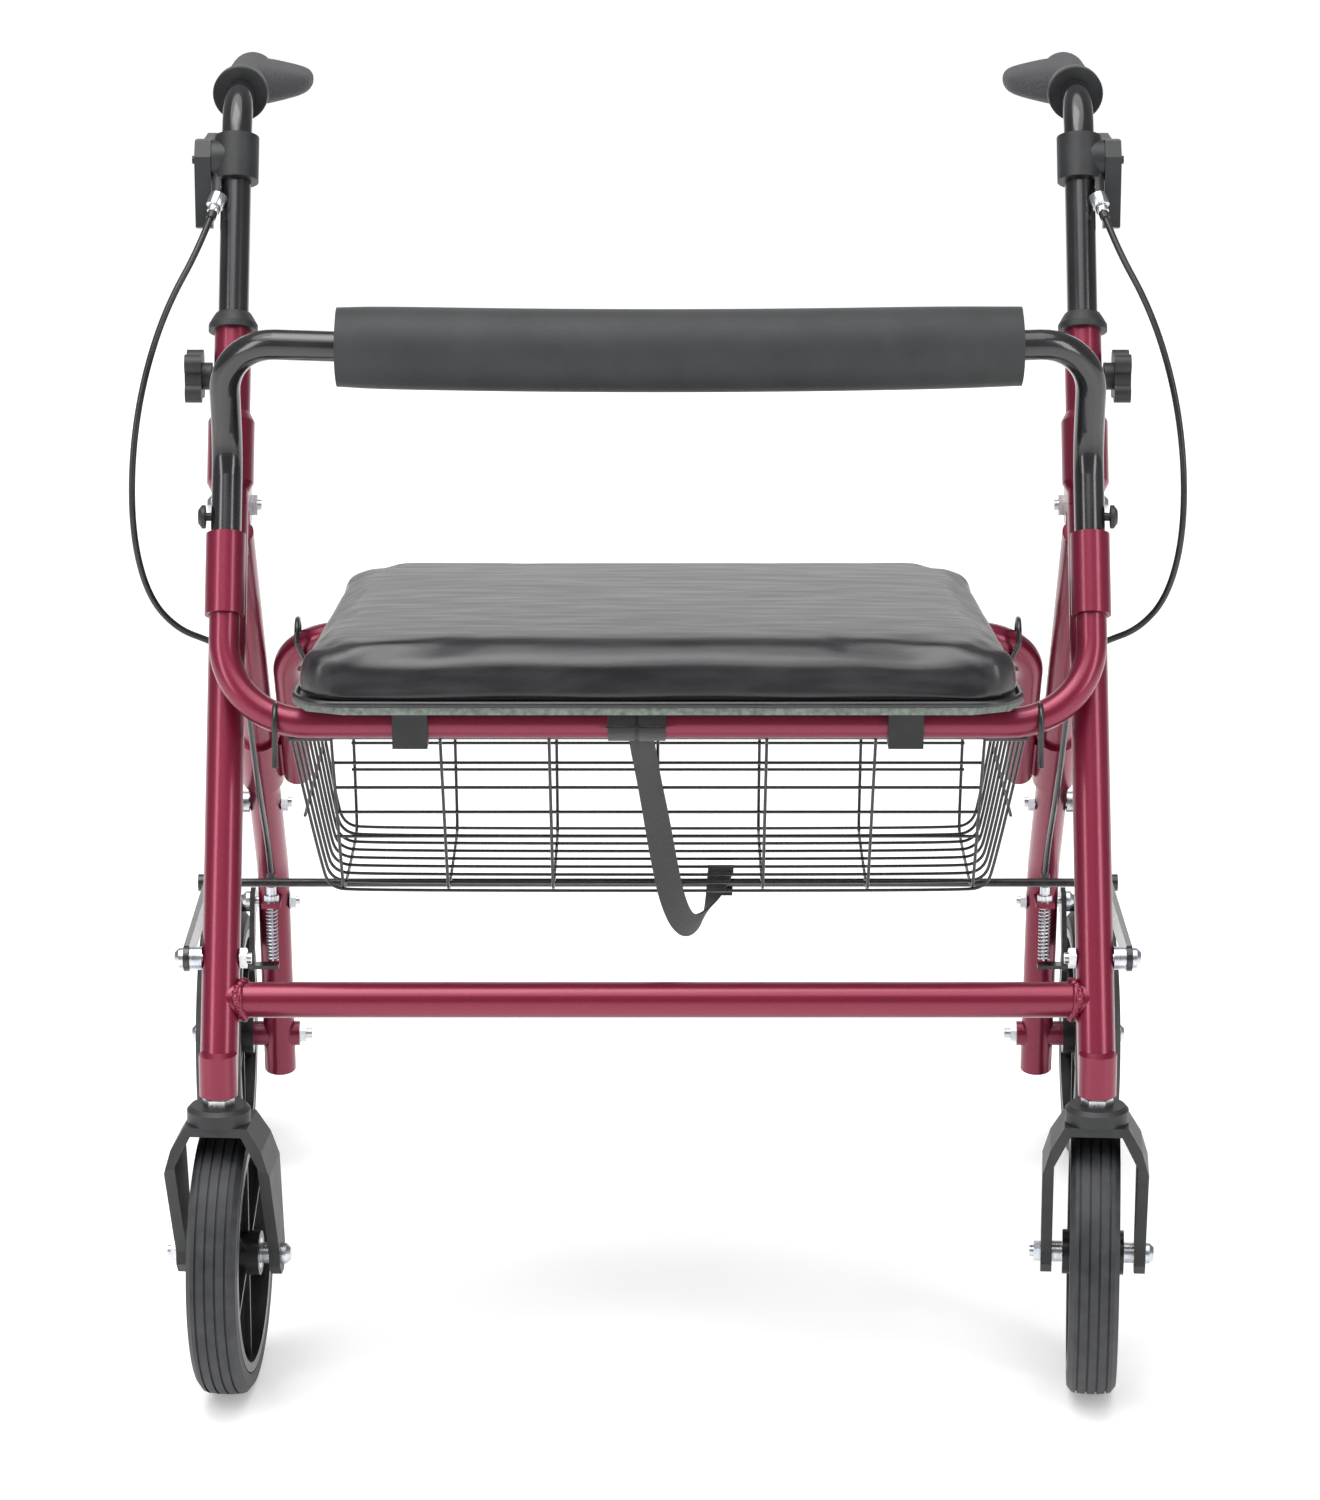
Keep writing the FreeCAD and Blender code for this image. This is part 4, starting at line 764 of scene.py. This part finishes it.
# brake cables: one each side from lever to frame, and one each side from frame to brake
cableSize = {"radius": 0.0024, "ferrule": 0.0036, "barrel": 0.0068}
upperRoute = [(0.3225, -0.0169, 0.8264), (0.333, -0.0395, 0.797), (0.357, -0.0675, 0.755),
              (0.373, -0.0905, 0.705), (0.381, -0.1055, 0.65), (0.381, -0.1095, 0.593),
              (0.371, -0.1045, 0.548), (0.352, -0.0935, 0.522), (0.33, -0.0755, 0.509),
              (0.313, -0.0515, 0.495)]
lowerRoute = [(0.3129, -0.0506, 0.4942), (0.31, -0.0055, 0.456), (0.31, 0.0395, 0.412),
              (0.31, 0.0795, 0.372), (0.31, 0.1195, 0.336), (0.31, 0.1565, 0.306),
              (0.31, 0.1835, 0.283), (0.31, 0.1995, 0.264), (0.31, 0.2089, 0.252),
              (0.31, 0.2087, 0.242)]


def makeCables(side, sign):
    def sided(route):
        return [Vector((sign * x, y, z)) for x, y, z in route]

    upper = sided(upperRoute)
    tip = upper[0] + (upper[0] - upper[1]).normalized() * 0.001
    way = (upper[1] - upper[0]).normalized()
    collarTop = bar("ferrule", cableSize["ferrule"], tip, upper[0] + way * 0.016)
    # threaded adjuster where the cable leaves the lever's housing
    barrel = bar("barrel", cableSize["barrel"], upper[0] - way * 0.004, upper[0] + way * 0.006, 12)
    thread = bar("thread", cableSize["barrel"] * 0.68, upper[0] + way * 0.006, upper[0] + way * 0.011)
    adjuster = joinUp(f"{side}_lever_adjuster", [barrel, thread])
    addModifier(adjuster, "BEVEL", width=0.0006, segments=2, limit_method="ANGLE")
    applyAll(adjuster)
    smoothBy(adjuster, 30)
    dress(adjuster, zinc, f"{side}_handle")
    line = lineOf("cable", upper, cableSize["radius"])
    piece = joinUp(f"{side}_upper_brake_cable", [line, collarTop])
    dress(piece, sheath, None)
    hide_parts(f"{side}_upper_cable")
    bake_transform(piece)
    lower = sided(lowerRoute)
    collar = bar("ferrule", cableSize["ferrule"], lower[-1], lower[-1] + Vector((0, 0, 0.011)))
    line = lineOf("cable", lower, cableSize["radius"])
    piece = joinUp(f"{side}_lower_brake_cable", [line, collar])
    dress(piece, sheath, None)
    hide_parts(f"{side}_lower_cable")
    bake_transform(piece)


# return springs of the brakes, as close coils
springSize = {"turns": 15, "wire": 0.00075, "steps": 12, "stem": 0.0009}


def makeSpring(side, sign):
    low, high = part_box(f"{side}_brake_spring")
    centre = (low + high) / 2
    radius = (high.x - low.x) / 2 - springSize["wire"]
    total = springSize["turns"] * springSize["steps"]
    points = []
    for step in range(total + 1):
        angle = math.tau * step / springSize["steps"]
        height = low.z + springSize["wire"] + (high.z - low.z - 2 * springSize["wire"]) * step / total
        points.append(Vector((centre.x + radius * math.cos(angle), centre.y + radius * math.sin(angle),
                              height)))
    coil = lineOf("coil", points, springSize["wire"], corners=2)
    foot, top = Vector((centre.x, centre.y, low.z)), Vector((centre.x, centre.y, high.z))
    stem = bar("stem", springSize["stem"], foot, top, 12)
    piece = joinUp(f"{side}_return_coil", [coil, stem])
    dress(piece, zinc, "rear_frame")
    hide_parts(f"{side}_brake_spring")


for side, sign in sides:
    makeCables(side, sign)
    makeSpring(side, sign)
print("cables and springs made")


# hand grips: a round handle run together with a palm rest on its inner side
gripSize = {"radius": 0.0172, "voxel": 0.0016, "restThick": 0.036, "restEdge": 0.262, "restTaper": 0.6,
            "ringLength": 0.014, "ringRadius": 0.0205, "axisX": 0.31, "axisZ": 0.895}


def makeGrip(side, sign):
    low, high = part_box(f"{side}_grip")
    axisX = sign * gripSize["axisX"]
    axisZ = gripSize["axisZ"]
    front, back = low.y, high.y
    body = bar("body", gripSize["radius"], Vector((axisX, front + 0.012, axisZ)),
               Vector((axisX, back - 0.002, axisZ)), 48)
    chooseEdges(body, lambda a, b: min(a.y, b.y) > back - 0.004)
    bpy.ops.mesh.bevel(offset=0.006, segments=4)
    done()
    # the palm rest: as tall as the grip at its root, thin and rounded at its inner edge
    innerX = sign * gripSize["restEdge"]
    middle = ((axisX + innerX) / 2, (front + back) / 2 + 0.012, axisZ)
    extent = (abs(axisX - innerX), back - front - 0.03, gripSize["restThick"])
    bpy.ops.mesh.primitive_cube_add(size=1, location=middle, scale=extent)
    rest = freeze(newest("rest"))
    chooseFaces(rest, lambda spot, way: way.x * sign < -0.9)
    bpy.ops.transform.resize(value=(1, gripSize["restTaper"], 0.42))
    bpy.ops.transform.translate(value=(0, 0.014, -0.001))
    done()
    pick(rest)
    bpy.ops.object.mode_set(mode="EDIT")
    bpy.ops.mesh.select_all(action="SELECT")
    bpy.ops.mesh.subdivide(number_cuts=1)
    done()
    addModifier(rest, "SUBSURF", levels=2, render_levels=2)
    applyAll(rest)
    grip = joinUp(f"{side}_hand_grip", [body, rest])
    addModifier(grip, "REMESH", mode="VOXEL", voxel_size=gripSize["voxel"])
    addModifier(grip, "SMOOTH", factor=0.6, iterations=6)
    applyAll(grip)
    pick(grip)
    bpy.ops.object.shade_smooth()
    dress(grip, gripSkin, f"{side}_handle")
    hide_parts(f"{side}_grip")
    # clamp ring in front of the grip
    ring = bar("ring", gripSize["ringRadius"], Vector((axisX, front, axisZ)),
               Vector((axisX, front + gripSize["ringLength"], axisZ)), 48)
    chooseFaces(ring, lambda spot, way: abs(way.y) > 0.9)
    bpy.ops.mesh.inset(thickness=0.0045)
    bpy.ops.transform.resize(value=(1, 0.72, 1))
    done()
    addModifier(ring, "BEVEL", width=0.0016, segments=3, limit_method="ANGLE")
    applyAll(ring)
    smoothBy(ring, 35)
    dress(ring, plastic, f"{side}_handle")
    ring.name = f"{side}_grip_ring"


for side, sign in sides:
    makeGrip(side, sign)
print("grips made")


# weld beads: a rippled ring where one tube meets the side of another
weldSize = {"bead": 0.0026, "ripple": 0.24, "ripples": 22, "steps": 88, "tube": 0.0128,
            "upright": 0.0172, "cross": (0, -0.27463, 0.29359),
            "stemFoot": (0.31, -0.3055, 0.233), "lean": 27}


def weldAround(name, start, way, tubeRadius, hostPlace, hostWay, hostRadius, body):
    way = way.normalized()
    hostWay = hostWay.normalized()
    across = way.cross(hostWay).normalized()
    along = across.cross(way)
    points = []
    for step in range(weldSize["steps"]):
        angle = math.tau * step / weldSize["steps"]
        spot = start + (across * math.cos(angle) + along * math.sin(angle)) * tubeRadius
        # the point moves along the tube until it lies on the host tube's surface
        gap = spot - hostPlace
        a = way - hostWay * way.dot(hostWay)
        b = gap - hostWay * gap.dot(hostWay)
        root = max(0.0, a.dot(b) ** 2 - a.dot(a) * (b.dot(b) - hostRadius ** 2))
        points.append(spot + way * ((-a.dot(b) - math.sqrt(root)) / a.dot(a)))
    bead = lineOf(name, points, weldSize["bead"], smooth=False, closed=True, corners=3)
    middle = sum(points, Vector()) / len(points)
    for vertex in bead.data.vertices:
        nearest = min(points, key=lambda p: (p - vertex.co).length)
        spoke = nearest - middle
        angle = math.atan2(spoke.dot(along), spoke.dot(across))
        swell = 1 + weldSize["ripple"] * math.sin(weldSize["ripples"] * angle)
        vertex.co = nearest + (vertex.co - nearest) * swell
    dress(bead, red, body)


def makeWelds():
    lean = math.radians(weldSize["lean"])
    stemWay = Vector((0, math.sin(lean), math.cos(lean)))
    x, y, z = weldSize["stemFoot"]
    for side, sign in sides:
        weldAround(f"{side}_cross_weld", Vector(weldSize["cross"]), Vector((sign, 0, 0)),
                   weldSize["tube"], Vector((sign * x, y, z)), stemWay, weldSize["upright"], "frame")


makeWelds()
print("welds made")
